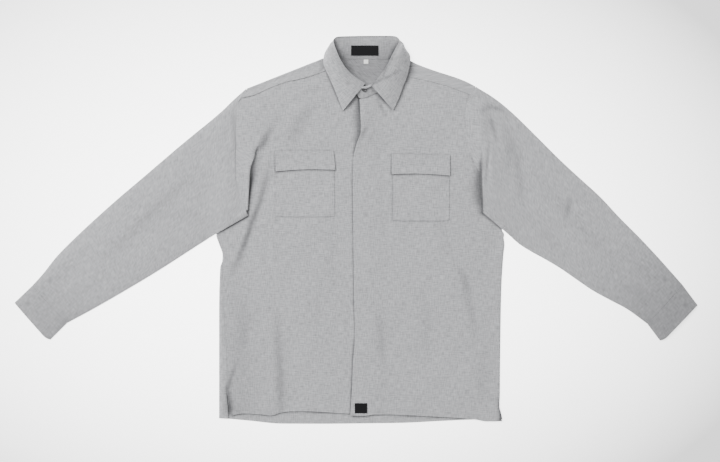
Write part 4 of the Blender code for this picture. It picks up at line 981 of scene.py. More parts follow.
# sewing, in millimetres
STITCH_LENGTH, STITCH_PITCH, STITCH_WIDTH = 2.3, 3.1, 0.4
HEM_STITCHES, PLACKET_STITCHES, YOKE_STITCHES = 8, 36, 2.2  # how far in from the edge
PUCKER_DEPTH, PUCKER_WAVE, PUCKER_REACH = 0.16, 11.0, 7.0
SEAM_REACH = ((60, 3), (100, 6), (230, 6), (250, 12))  # y, how near a seam is for a sleeve to meet it
SEAM_GRIP = ((200, 2), (240, 20))  # y, how soon the side that shows is held by the seam
SEAM_BLEND = 45.0  # length over which it does


def slow_waves(x, y):
    """Low waves over a whole panel."""
    height = np.zeros(np.shape(x))
    for rise, length_x, length_y, start in WAVES:
        height = height + rise * np.sin(2 * math.pi * (x / length_x + y / length_y) + start)
    return height


def right_top(x, y):
    """Middle of the right front with its fine creases."""
    low = FLOOR_LAYER + 0.95
    return np.maximum(front_height(x, y) + fold_height(x, y, RIGHT_CREASES) + slow_waves(x, y), low)


def left_top(x, y):
    low = FLOOR_LAYER + 0.95 + LAP * (x < 36)
    return np.maximum(left_front_height(x, y) + fold_height(x, y, LEFT_CREASES) + slow_waves(x, y), low)


def finer_rows(grid, cell, ring=False):
    """The grid with more rows, on curves through the given ones that never swing past them."""
    count = len(grid)
    if ring:
        grid = np.concatenate([grid[-2:], grid, grid[:3]])
    steps = np.linalg.norm(np.diff(grid[..., :3], axis=0), axis=2).mean(axis=1)
    steps = np.maximum(steps, 0.01)
    rise = np.diff(grid, axis=0) / steps[:, None, None]
    same = rise[:-1] * rise[1:] > 0
    inner = np.where(same, 2 * rise[:-1] * rise[1:] / np.where(same, rise[:-1] + rise[1:], 1), 0)
    slopes = np.concatenate([rise[:1], inner, rise[-1:]])
    first, last = (2, 2 + count) if ring else (0, count - 1)
    rows, counts = [], []
    for row in range(first, last):
        at_edge = not ring and row in (first, last - 1)
        number = max(1, round(steps[row] / (EDGE_CELL if at_edge and steps[row] < 14 else cell)))
        counts.append(number)
        for s in np.arange(number) / number:
            near = (1 + 2 * s) * (1 - s) ** 2 * grid[row] + s * (1 - s) ** 2 * steps[row] * slopes[row]
            far = s * s * (3 - 2 * s) * grid[row + 1] + s * s * (s - 1) * steps[row] * slopes[row + 1]
            rows.append(near + far)
    if not ring:
        rows.append(grid[-1])
    return np.array(rows), counts


def finer(grid, cell, keep=None, ring=False):
    grid, row_counts = finer_rows(grid, cell)
    grid, column_counts = finer_rows(grid.transpose(1, 0, 2), cell, ring)
    if keep is not None:
        keep = np.repeat(np.repeat(keep, row_counts, 0), column_counts, 1)
    return grid.transpose(1, 0, 2).copy(), keep


def grid_normals(grid, ring=False):
    """Normals of the side that shows, at each point of a grid."""
    points = grid[..., :3]
    down = np.gradient(points, axis=0)
    if ring:
        wide = np.concatenate([points[:, -1:], points, points[:, :1]], axis=1)
        across = (wide[:, 2:] - wide[:, :-2]) / 2
    else:
        across = np.gradient(points, axis=1)
    normals = np.cross(across, down)
    normals /= np.maximum(np.linalg.norm(normals, axis=2, keepdims=True), 1e-9)
    if normals[..., 2].sum() < 0 and not ring:
        normals = -normals
    if ring:
        middle = normals[:, len(TOP_ROUND) // 2, 2].sum()
        normals = normals if middle > 0 else -normals
    return normals


def cut_places(grid, ring, straight):
    """Where each point lies on the flat cut, in millimetres, with a ring's last column repeated."""
    points = grid[..., :3]
    if ring:
        points = np.concatenate([points, points[:, :1]], axis=1)
    across = np.linalg.norm(np.diff(points, axis=1), axis=2)
    across = np.concatenate([np.zeros((len(points), 1)), np.cumsum(across, axis=1)], axis=1)
    if straight:
        middle = points.shape[1] // 2
        heading = 1 if points[0, -1, 0] > points[0, 0, 0] else -1
        across = heading * (across - across[:, middle : middle + 1]) + points[:, middle : middle + 1, 0]
        return across, points[..., 1]
    down = np.linalg.norm(np.diff(points, axis=0), axis=2).mean(axis=1)
    down = np.concatenate([[0], np.cumsum(down)])
    return across, down[:, None] + 0 * across


def shell(name, grid, material, keep=None, ring=False, thickness=None, straight=False, shade=None):
    """Closed thin cloth round a grid of mid-layer points, with its cut as a UV map in metres."""
    thickness = thickness or bpy.context.scene.shirt_cloth.thickness / METRES
    rows, columns = grid.shape[:2]
    cells = columns if ring else columns - 1
    if keep is None:
        keep = np.ones((rows - 1, cells), bool)
    r, c = np.nonzero(keep)
    d = (c + 1) % columns
    quads = np.stack([r * columns + c, r * columns + d, (r + 1) * columns + d, (r + 1) * columns + c], 1)
    flat = grid[..., :3].reshape(-1, 3)
    facing = np.cross(flat[quads[:, 2]] - flat[quads[:, 0]], flat[quads[:, 3]] - flat[quads[:, 1]])
    facing /= np.maximum(np.linalg.norm(facing, axis=1, keepdims=True), 1e-9)
    normals = np.zeros_like(flat)
    for corner in range(4):
        np.add.at(normals, quads[:, corner], facing)
    used = np.unique(quads)
    place = np.full(len(flat), -1)
    place[used] = np.arange(len(used))
    normals = normals[used] / np.maximum(np.linalg.norm(normals[used], axis=1, keepdims=True), 1e-9)
    points = np.concatenate([flat[used] + normals * thickness / 2, flat[used] - normals * thickness / 2])
    points[:, 2] = np.maximum(points[:, 2], 0.05)
    count = len(used)
    upper = place[quads]
    lower = upper[:, ::-1] + count
    starts = upper.ravel()
    ends = np.roll(upper, -1, axis=1).ravel()
    lone = ~np.isin(starts * count + ends, ends * count + starts)
    starts, ends = starts[lone], ends[lone]
    rim = np.stack([ends, starts, starts + count, ends + count], 1)
    faces = np.concatenate([upper, lower, rim])

    mesh = bpy.data.meshes.new(name)
    mesh.from_pydata((points * METRES).tolist(), [], faces.tolist())
    across, down = cut_places(grid, ring, straight)
    corner_across = np.stack([across[r, c], across[r, c + 1], across[r + 1, c + 1], across[r + 1, c]], 1)
    down_next = down[:, np.minimum(c + 1, down.shape[1] - 1)]
    corner_down = np.stack([down[r, c], down_next[r, np.arange(len(r))], down_next[r + 1, np.arange(len(r))],
                            down[r + 1, c]], 1)
    cell_of = np.repeat(np.arange(len(quads)), 4)[lone]
    side = np.tile(np.arange(4), len(quads))[lone]
    after = (side + 1) % 4
    on_rim = np.stack([after, side, side, after], 1)
    rim_places = [table[cell_of[:, None], on_rim] for table in (corner_across, corner_down)]
    u = np.concatenate([corner_across, corner_across[:, ::-1], rim_places[0]]).ravel()
    v = np.concatenate([corner_down, corner_down[:, ::-1], rim_places[1]]).ravel()
    layer = mesh.uv_layers.new(name="cut")
    layer.data.foreach_set("uv", (np.stack([u, v], 1) * METRES).ravel())
    # painted shade: each point's share of darkening, read by the cloth's colour
    dark = np.zeros(len(points)) if shade is None else np.tile(shade.reshape(-1)[used], 2)
    mesh.attributes.new("shade", "FLOAT", "POINT").data.foreach_set("value", dark)
    mesh.shade_smooth()
    mesh.set_sharp_from_angle(angle=math.radians(50))
    mesh.materials.append(material)
    return add_object(name, mesh)


def add_object(name, data):
    made = bpy.data.objects.new(name, data)
    bpy.context.scene.collection.objects.link(made)
    return made


def cut_size(grid, keep=None, ring=False):
    """Width, length and area of the flat cut, in metres."""
    points = grid[..., :3]
    if ring:
        points = np.concatenate([points, points[:, :1]], axis=1)
    across = np.linalg.norm(np.diff(points, axis=1), axis=2)
    down = np.linalg.norm(np.diff(points, axis=0), axis=2)
    if keep is None:
        keep = np.ones((points.shape[0] - 1, points.shape[1] - 1), bool)
    areas = (across[:-1] + across[1:]) / 2 * (down[:, :-1] + down[:, 1:]) / 2
    width, length = across.sum(axis=1).max() * METRES, down.sum(axis=0).max() * METRES
    return (width, length), min((areas * keep).sum() * METRES**2, width * length)


def lay(piece, node, grid, keep=None, ring=False):
    """Attach a sheet of cloth to the body and hide the part of the model that it stands for; its flat cut is
    measured but not used.
    """
    flat, area = cut_size(grid, keep, ring)
    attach(piece, BODY)
    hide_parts(node)


def inset(grid, edge, distance, ring=False):
    """Points at this distance from one edge of a grid, lifted to the side that shows."""
    thickness = bpy.context.scene.shirt_cloth.thickness / METRES
    both = np.concatenate([grid[..., :3], grid_normals(grid, ring)], axis=2)
    lines = {
        "first row": both,
        "last row": both[::-1],
        "first column": both.transpose(1, 0, 2),
        "last column": both[:, ::-1].transpose(1, 0, 2),
    }[edge]
    steps = np.linalg.norm(np.diff(lines[..., :3], axis=0), axis=2)
    places = np.concatenate([np.zeros((1, steps.shape[1])), np.cumsum(steps, axis=0)])
    points = []
    for line in range(lines.shape[1]):
        row = min(max(np.searchsorted(places[:, line], distance) - 1, 0), len(steps) - 1)
        share = (distance - places[row, line]) / max(steps[row, line], 1e-6)
        at = blend(lines[row, line], lines[row + 1, line], share)
        points.append(at[:3] + at[3:] * thickness / 2)
    return np.array(points)


# node tree of the stitches: name, kind of each node, then from node, socket, to node, socket of each link
STITCH_NODES = (
    ("given", "NodeGroupInput"), ("resample", "GeometryNodeResampleCurve"),
    ("tangent", "GeometryNodeInputTangent"), ("turn", "FunctionNodeAlignRotationToVector"),
    ("size", "ShaderNodeCombineXYZ"), ("thread", "GeometryNodeMeshUVSphere"),
    ("place", "GeometryNodeInstanceOnPoints"), ("realize", "GeometryNodeRealizeInstances"),
    ("smooth", "GeometryNodeSetShadeSmooth"), ("finish", "GeometryNodeSetMaterial"),
    ("result", "NodeGroupOutput"),
)
STITCH_LINKS = (
    ("given", "Seam", "resample", "Curve"), ("given", "Pitch", "resample", "Length"),
    ("tangent", "Tangent", "turn", "Vector"), ("given", "Length", "size", "X"),
    ("given", "Width", "size", "Y"), ("given", "Width", "size", "Z"),
    ("resample", "Curve", "place", "Points"), ("thread", "Mesh", "place", "Instance"),
    ("turn", "Rotation", "place", "Rotation"), ("size", "Vector", "place", "Scale"),
    ("place", "Instances", "realize", "Geometry"), ("realize", "Geometry", "smooth", "Geometry"),
    ("smooth", "Geometry", "finish", "Geometry"), ("given", "Thread", "finish", "Material"),
    ("finish", "Geometry", "result", "Stitches"),
)


def stitch_tree():
    """Node tree that sews stitches along every spline of a curve."""
    tree = bpy.data.node_groups.new("stitches along a seam", "GeometryNodeTree")
    sockets = tree.interface
    sockets.new_socket("Seam", in_out="INPUT", socket_type="NodeSocketGeometry")
    for name, kind in (
        ("Pitch", "NodeSocketFloat"),
        ("Length", "NodeSocketFloat"),
        ("Width", "NodeSocketFloat"),
        ("Thread", "NodeSocketMaterial"),
    ):
        sockets.new_socket(name, in_out="INPUT", socket_type=kind)
    sockets.new_socket("Stitches", in_out="OUTPUT", socket_type="NodeSocketGeometry")
    nodes = {name: tree.nodes.new(kind) for name, kind in STITCH_NODES}
    nodes["resample"].mode, nodes["turn"].axis = "LENGTH", "X"
    for name, value in (("Segments", 6), ("Rings", 4), ("Radius", 0.5)):
        nodes["thread"].inputs[name].default_value = value
    for source, output, target, socket in STITCH_LINKS:
        tree.links.new(nodes[source].outputs[output], nodes[target].inputs[socket])
    return tree


def sew(name, lines, thread):
    """Stitches along lines of points, as one plain mesh."""
    curve = bpy.data.curves.new(name + "_path", "CURVE")
    curve.dimensions = "3D"
    for line in lines:
        spline = curve.splines.new("POLY")
        spline.points.add(len(line) - 1)
        places = np.concatenate([line * METRES, np.ones((len(line), 1))], axis=1)
        spline.points.foreach_set("co", places.ravel())
    path = add_object(name + "_path", curve)
    tree = bpy.data.node_groups.get("stitches along a seam") or stitch_tree()
    modifier = path.modifiers.new("stitches", "NODES")
    modifier.node_group = tree
    sizes = {"Pitch": STITCH_PITCH, "Length": STITCH_LENGTH, "Width": STITCH_WIDTH}
    for item in tree.interface.items_tree:
        if item.in_out == "INPUT" and item.name in sizes:
            modifier[item.identifier] = sizes[item.name] * METRES
        if item.in_out == "INPUT" and item.name == "Thread":
            modifier[item.identifier] = thread
    depsgraph = bpy.context.evaluated_depsgraph_get()
    mesh = bpy.data.meshes.new_from_object(path.evaluated_get(depsgraph))
    path.modifiers.remove(modifier)
    bpy.data.objects.remove(path, do_unlink=True)
    mesh.name = name
    mesh.materials.clear()
    mesh.materials.append(thread)
    piece = add_object(name, mesh)
    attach(piece, BODY)


class Wire:
    """A shader socket that adds its maths nodes when it is used in an expression."""

    def __init__(self, shader, socket):
        self.shader, self.socket = shader, socket

    def maths(self, operation, *values):
        inputs = dict(enumerate(values))
        return self.shader.node("ShaderNodeMath", {"operation": operation}, inputs)

    def __add__(self, other):
        return self.maths("ADD", self, other)

    def __sub__(self, other):
        return self.maths("SUBTRACT", self, other)

    def __rsub__(self, other):
        return self.maths("SUBTRACT", other, self)

    def __mul__(self, other):
        return self.maths("MULTIPLY", self, other)

    def __truediv__(self, other):
        return self.maths("DIVIDE", self, other)

    __radd__ = __add__
    __rmul__ = __mul__


class Shader:
    """A material and the nodes that make its look."""

    def __init__(self, name):
        self.material = bpy.data.materials.new(name)
        self.material.use_nodes = True
        self.tree = self.material.node_tree
        self.surface = self.tree.nodes["Principled BSDF"]

    def feed(self, socket, value):
        if isinstance(value, Wire):
            self.tree.links.new(value.socket, socket)
        else:
            socket.default_value = value

    def node(self, kind, settings=None, inputs=None, output=0):
        made = self.tree.nodes.new(kind)
        for name, value in (settings or {}).items():
            setattr(made, name, value)
        by_name = {socket.identifier: socket for socket in made.inputs}
        for name, value in (inputs or {}).items():
            self.feed(by_name[name] if name in by_name else made.inputs[name], value)
        return Wire(self, made.outputs[output])

    def noise(self, place, stretch, detail=2.0):
        """Noise with this many grains to the metre along each axis."""
        mapped = self.node("ShaderNodeMapping", None, {"Vector": place, "Scale": (*stretch, 1)})
        return self.node("ShaderNodeTexNoise", None, {"Vector": mapped, "Scale": 1.0, "Detail": detail})

    def mix(self, share, first, second):
        inputs = {"Factor_Float": share, "A_Color": first, "B_Color": second}
        return self.node("ShaderNodeMix", {"data_type": "RGBA"}, inputs, 2)

    def set(self, **values):
        for name, value in values.items():
            self.feed(self.surface.inputs[name.replace("_", " ")], value)

    def bump(self, height, strength, distance):
        inputs = {"Height": height, "Strength": strength, "Distance": distance}
        self.set(Normal=self.node("ShaderNodeBump", None, inputs))


def x_and_y(shader, place):
    parts = shader.node("ShaderNodeSeparateXYZ", None, {"Vector": place}).socket.node
    return [Wire(shader, parts.outputs[axis]) for axis in "XY"]


def threads(shader, place, pitch):
    """Height of a plain weave: warp over weft, turn by turn."""
    across, along_it = (axis * (2 * math.pi / pitch) for axis in x_and_y(shader, place))
    return across.maths("SINE", across) * along_it.maths("SINE", along_it)


def melange_cloth():
    """Grey cotton with light and dark slubs in warp and weft."""
    look = bpy.context.scene.shirt_cloth
    shader = Shader("melange cloth")
    place = shader.node("ShaderNodeUVMap", {"uv_map": "cut"})
    warp = shader.noise(place, (500, 75), 3.0)
    weft = shader.noise(place, (75, 500), 3.0)
    cloud = shader.noise(place, (9, 9), 1.0)
    weave = threads(shader, place, look.thread_pitch)
    slub = (warp + weft - 1.0) * look.melange + (cloud - 0.5) * 0.14
    share = slub + 0.5 + weave * 0.03
    colour = shader.mix(share, look.dark_yarn, look.light_yarn)
    # painted shade: the shade attribute darkens the cloth towards near black
    dark = shader.node("ShaderNodeAttribute", {"attribute_name": "shade"}, None, 2)
    shader.set(Base_Color=shader.mix(dark, colour, (0.012, 0.012, 0.014, 1)))
    shader.set(Roughness=0.88, Sheen_Weight=0.12, Sheen_Roughness=0.6, Specular_IOR_Level=0.25)
    shader.bump(weave * 0.25 + slub, 0.35, 0.0004)
    return shader.material


def plain_finish(name, colour, roughness):
    shader = Shader(name)
    place = shader.node("ShaderNodeTexCoord", None, None, 3)
    grain = shader.noise(place, (900, 900), 2.0)
    dim = tuple(0.75 * part for part in colour[:3]) + (1,)
    shader.set(Base_Color=shader.mix(grain, dim, colour), Roughness=roughness)
    return shader.material


def label_finish(name, colour):
    """Close satin weave."""
    shader = Shader(name)
    place = shader.node("ShaderNodeUVMap", {"uv_map": "cut"})
    grain = shader.noise(place, (2600, 500), 2.0)
    dim = tuple(0.6 * part for part in colour[:3]) + (1,)
    shader.set(Base_Color=shader.mix(grain, dim, colour), Roughness=0.8, Specular_IOR_Level=0.1)
    shader.bump(grain, 0.3, 0.0002)
    return shader.material


def finish_named(name, make, *words, **settings):
    return bpy.data.materials.get(name) or make(name, *words, **settings)


def cloth():
    return bpy.data.materials.get("melange cloth") or melange_cloth()


def thread():
    return finish_named("grey thread", plain_finish, (0.29, 0.292, 0.3, 1), 0.85)


def pucker(grid, edge):
    """Small waves beside a sewn edge, pulled down at the stitches."""
    points = grid[..., :3]
    line = {"first row": points[0], "last row": points[-1], "first column": points[:, 0],
            "last column": points[:, -1]}[edge]
    lengths = np.concatenate([[0], np.cumsum(np.linalg.norm(np.diff(line, axis=0), axis=1))])
    turns = 2 * math.pi * lengths / PUCKER_WAVE
    wave = np.sin(turns) + 0.6 * np.sin(turns / 1.7)
    along_rows = edge.endswith("row")
    away = np.linalg.norm(points - (line[None] if along_rows else line[:, None]), axis=2)
    fall = np.exp(-((away / PUCKER_REACH) ** 2))
    return PUCKER_DEPTH * fall * (wave[None, :] if along_rows else wave[:, None])


def dark_along(grid, lines):
    """Share of shade that gathers along lines whose points each have a depth and a half width."""
    shade = np.zeros(grid.shape[:2])
    for line in lines:
        rows = np.array(line, float)
        lengths = np.linalg.norm(np.diff(rows[:, :2], axis=0), axis=1)
        places = np.concatenate([[0], np.cumsum(lengths)]) / lengths.sum()
        away, share = distance_to(rows[:, :2], grid[..., 0], grid[..., 1])
        depth, width = (np.interp(share, places, rows[:, column]) for column in (2, 3))
        shade = np.maximum(shade, depth * np.exp(-((away / width) ** 2)))
    return shade


def cavity(grid, creases, strength=0.2):
    """A little shade in the troughs, where less light falls."""
    troughs = [(strength * depth, width, line) for depth, width, line in creases if depth < 0]
    return -fold_height(grid[..., 0], grid[..., 1], troughs)


def weighted(made, weights):
    """A grid with a fourth column that holds weights."""
    return np.concatenate([made, np.broadcast_to(weights[..., None], (*made.shape[:2], 1))], axis=2)


def both_shades(first, second):
    """Shade where two shades lie over each other."""
    return 1 - (1 - first) * (1 - second)


def from_fold(end):
    """The end of the yoke from the shoulder fold down to the front seam."""
    return end[end[:, 1].argmax() :, :3]


def right_front():
    """The right front's grid, with a fourth column that is 1 on the layer under the underarm fold."""
    made, keep = right_front_grid()
    under = (np.arange(made.shape[1]) < RIGHT_MAIN_COLUMNS + 1).astype(float)
    grid, keep = finer(weighted(made, under[None, :]), FRONT_CELL, keep)
    grid[..., 2] += right_top(grid[..., 0], grid[..., 1]) - front_height(grid[..., 0], grid[..., 1])
    return grid, keep


def left_front():
    grid, _ = finer(left_front_grid(), FRONT_CELL)
    flat = smoothstep((read(OUTLINE_LEFT_BODY, grid[..., 1]) - grid[..., 0]) / 20)
    x, y = grid[..., 0], grid[..., 1]
    grid[..., 2] += flat * (left_top(x, y) - left_front_height(x, y))
    return grid


def meet(grid, seam):
    """Bring the end of a sleeve to the line that it is sewn to, at the same height."""
    end = grid[-1]
    away = np.linalg.norm(end[:, None, :2] - seam[None, :, :2], axis=2)
    to = seam[away.argmin(axis=1)]
    reach = np.interp(end[:, 1], *np.array(SEAM_REACH).T)
    grip = np.interp(end[:, 1], *np.array(SEAM_GRIP).T)
    near = np.exp(-((away.min(axis=1) / reach) ** 4)) * smoothstep(end[:, 3] * grip)
    steps = np.linalg.norm(np.diff(grid[::-1, :, :3], axis=0), axis=2)
    far = np.concatenate([np.zeros((1, grid.shape[1])), np.cumsum(steps, axis=0)])[::-1]
    grid[..., 2] += smoothstep(1 - far / SEAM_BLEND) * (near * (to[:, 2] - end[:, 2]))[None]
    grid[-1, :, :2] += near[:, None] * (to[:, :2] - end[:, :2])


def sleeve(made, creases, seam):
    """A sleeve's grid, finer and creased on the side that shows."""
    shares = np.array(TOP_ROUND)
    top = np.concatenate([np.sin(math.pi * shares) ** 0.7, np.zeros(len(UNDER_ROUND))])
    grid, _ = finer(weighted(made, top[None, :]), SLEEVE_CELL, ring=True)
    x, y = grid[..., 0], grid[..., 1]
    grid[..., 2] += grid[..., 3] * (fold_height(x, y, creases) + slow_waves(x, y))
    meet(grid, seam)
    return grid


def back():
    grid, _ = finer(back_grid(), BACK_CELL)
    return grid


def on_top(grid):
    """How far the points of the yoke belong to its upper layer."""
    return smoothstep((grid[..., 2] - 2.2) / 0.8)


def yoke():
    made, keep = yoke_grid()
    grid, keep = finer(made, YOKE_CELL, keep)
    grid[..., 2] += on_top(grid) * fold_height(grid[..., 0], grid[..., 1], YOKE_CREASES)
    return grid, keep


def stand_with_lip():
    """The collar stand's grid, with the top edge of its tab turned over the button."""
    made = stand_grid()
    on_tab = (np.arange(len(made)) >= LIP_FROM).astype(float)
    grid, _ = finer(weighted(made, on_tab[:, None]), COLLAR_CELL)
    from_seam = np.linalg.norm(grid[..., :3] - grid[:, :1, :3], axis=2)
    grid[..., 2] -= SEAM_DROP * np.exp(-((from_seam / 6) ** 2)) * (1 - grid[..., 3])
    top = grid[:, -1]
    x = top[:, 0]
    turned = top[:, 3] * smoothstep((x - 10.5) / 2.5)
    low = np.stack([x, np.interp(x, *np.array(LIP_EDGE).T), 0 * x + LIP_HEIGHT], -1)
    fold = top[:, :3] + (0, 1.2, 1.5)
    over = low + (0, 2.4, 0.5)
    lip = [top[:, :3] + turned[:, None] * (point - top[:, :3]) for point in (fold, over, low)]
    keep = np.ones((len(grid) - 1, grid.shape[1] + 2), bool)
    keep[:, -3:] = ((turned[:-1] > 0.02) & (turned[1:] > 0.02))[:, None]
    return np.concatenate([grid[..., :3], np.stack(lip, 1)], axis=1), keep


def pocket(side):
    height = {"right": right_top, "left": left_top}[side]
    bag, _ = finer(pocket_grid(side, height), POCKET_CELL)
    bag[..., 2] = height(bag[..., 0], bag[..., 1]) + POCKET_LIFT
    flap, _ = finer(flap_grid(side, height), POCKET_CELL)
    down = np.linspace(0, 1, len(flap))[:, None]
    flap[..., 2] = height(flap[..., 0], flap[..., 1]) + 2 * POCKET_LIFT + 0.9 * down**2
    return bag, flap


class ShirtCloth(bpy.types.PropertyGroup):
    """Sizes and colours of the cloth"""

    thickness: FloatProperty(
        name="Thickness", description="How thick one layer of cloth is", default=0.0007, min=0.0002,
        max=0.002, precision=5, unit="LENGTH",
    )
    thread_pitch: FloatProperty(
        name="Thread pitch", description="From one thread of the weave to the next but one",
        default=0.0009, min=0.0003, max=0.004, precision=5, unit="LENGTH",
    )
    melange: FloatProperty(
        name="Melange", description="How strongly light and dark yarns differ", default=1.5, min=0, max=3,
    )
    dark_yarn: FloatVectorProperty(
        name="Dark yarn", description="Colour of the darker yarn", default=(0.2, 0.202, 0.209, 1),
        size=4, subtype="COLOR",
    )
    light_yarn: FloatVectorProperty(
        name="Light yarn", description="Colour of the lighter yarn", default=(0.4, 0.402, 0.415, 1),
        size=4, subtype="COLOR",
    )


class ShirtStage(bpy.types.PropertyGroup):
    """Floor, light and camera"""

    floor_colour: FloatVectorProperty(
        name="Floor", description="Colour of the surface that the shirt lies on",
        default=(0.86, 0.86, 0.86, 1), size=4, subtype="COLOR",
    )
    # painted light: the floor glows to stay white, brightest in the middle as a pool of light
    floor_glow: FloatProperty(
        name="Floor glow", description="Light of the table's own, which keeps it white", default=5.1, min=0,
        max=10,
    )
    ambient: FloatProperty(
        name="Ambient", description="Strength of the light from all round", default=0.95, min=0, max=5,
    )
    key: FloatProperty(
        name="Key light", description="Power of the large soft light in watts", default=1050, min=0, max=5000,
    )
    camera_height: FloatProperty(
        name="Camera height", description="How far above the surface the camera hangs", default=2.52,
        min=0.5, max=10, unit="LENGTH",
    )


CAMERA_X, CAMERA_Y = 0.0086, -0.0021
LENS, SENSOR = 60.0, 36.0
FLOOR_SIZE = 9.0
GLOW_X, GLOW_FALL = -0.13, (0.85, 1.96)  # middle of the table's painted pool of light, and its fall along x and y
KEY_PLACE, KEY_SIZE = (-4.5, 3.4, 4.05), 3.7


class ShirtAddStage(bpy.types.Operator):
    """Lay the floor, and place the lights and the camera"""

    bl_idname = "shirt.add_stage"
    bl_label = "Add floor, light and camera"

    def execute(self, context):
        stage = context.scene.shirt_stage
        half = FLOOR_SIZE / 2
        mesh = bpy.data.meshes.new("floor")
        corners = [(-half, -half, 0), (half, -half, 0), (half, half, 0), (-half, half, 0)]
        mesh.from_pydata(corners, [], [(0, 1, 2, 3)])
        floor = add_object("floor", mesh)
        shader = Shader("white surface")
        shader.set(Base_Color=stage.floor_colour, Roughness=0.9)
        # painted light: the glow fades away from GLOW_X like a pool of lamplight
        x, y = x_and_y(shader, shader.node("ShaderNodeTexCoord", None, None, 3))
        away = x - GLOW_X
        glow = 1 - away * away * GLOW_FALL[0] - y * y * GLOW_FALL[1]
        light = shader.mix(glow, (0, 0, 0, 1), (1, 1, 1, 1))
        shader.set(Emission_Color=light, Emission_Strength=stage.floor_glow)
        mesh.materials.append(shader.material)

        lamp = bpy.data.lights.new("key light", "AREA")
        lamp.energy, lamp.size = stage.key, KEY_SIZE
        key = add_object("key light", lamp)
        key.location = KEY_PLACE
        aim = -key.location.copy()
        key.rotation_euler = aim.to_track_quat("-Z", "Y").to_euler()

        world = bpy.data.worlds.new("soft daylight")
        world.use_nodes = True
        sky = world.node_tree.nodes["Background"]
        sky.inputs["Color"].default_value = (1, 1, 1, 1)
        sky.inputs["Strength"].default_value = stage.ambient
        context.scene.world = world

        view = bpy.data.cameras.new("camera")
        view.lens, view.sensor_width = LENS, SENSOR
        camera = add_object("camera", view)
        camera.location = (CAMERA_X, CAMERA_Y, stage.camera_height)
        context.scene.camera = camera
        return {"FINISHED"}


class ShirtAddBody(bpy.types.Operator):
    """Cut the back, the yoke and both fronts, and sew their hems and seams"""

    bl_idname = "shirt.add_body"
    bl_label = "Add back, yoke and fronts"

    def execute(self, context):
        lines = []
        grid = back()
        grid[..., 2] += pucker(grid, "first row") * 0.5
        lift = fold_height(grid[..., 0], grid[..., 1], BACK_CREASES) + 0.1
        grid[..., 2] += np.maximum(lift, 0) * smoothstep((1.0 - grid[..., 2]) / 0.3)
        hems = [
            [(x, y, HEM_SHADE_DEPTH, HEM_SHADE_WIDTH) for x, y in line]
            for line in (RIGHT_FRONT_HEM, LEFT_FRONT_HEM)
        ]
        shade = dark_along(grid, (*hems, HEM_CURL_SHADE, LEFT_CORNER_SHADE, SLIT_SHADE))
        piece = shell("back_panel", grid, cloth(), straight=True, shade=shade)
        lay(piece, "back", grid)
        lines += [inset(grid, "first row", HEM_STITCHES)]

        grid, keep = right_front()
        grid[..., 2] += pucker(grid, "first row") + pucker(grid, "last row")
        under = np.maximum(dark_along(grid, RIGHT_LOW_SHADES), cavity(grid, RIGHT_CREASES)) * grid[..., 3]
        shade = np.maximum(dark_along(grid, (*RIGHT_SHADES, ON_FOLD_SHADE, *pocket_shades("right"))), under)
        # painted shade along the right front's side, deeper towards the hem, where less light falls
        shade = both_shades(shade, dark_along(grid, [SIDE_FALLOFF_SHADE]))
        piece = shell("right_front_panel", grid, cloth(), keep, straight=True, shade=shade)
        lay(piece, "front_right", grid, keep)
        lines += [inset(grid, "first row", HEM_STITCHES)]

        grid = left_front()
        rise = pucker(grid, "first row") + pucker(grid, "last row")
        grid[..., 2] += rise + pucker(grid, "first column") * 0.6
        lines_of_shade = (*LEFT_SHADES, *pocket_shades("left"))
        shade = np.maximum(dark_along(grid, lines_of_shade), cavity(grid, LEFT_CREASES))
        piece = shell("left_front_panel", grid, cloth(), straight=True, shade=shade)
        lay(piece, "front_left", grid)
        lines += [inset(grid, "first row", HEM_STITCHES), inset(grid, "first column", PLACKET_STITCHES)]

        grid, keep = yoke()
        grid[..., 2] += pucker(grid, "last column") * on_top(grid)
        upper = on_top(grid)
        low = dark_along(grid, (NECK_SHADE, NECK_ROLL_SHADE))
        shade = dark_along(grid, YOKE_SHADES) * upper + low * (1 - upper)
        piece = shell("yoke_panel", grid, cloth(), keep, straight=True, shade=shade)
        lay(piece, "yoke", grid, keep)
        seam = inset(grid, "last column", YOKE_STITCHES)
        x = seam[:, 0]
        lines += [seam[x < NECK_SHOULDER_RIGHT[1]], seam[x > NECK_SHOULDER_LEFT[1]]]
        sew("body_stitches", lines, thread())
        return {"FINISHED"}


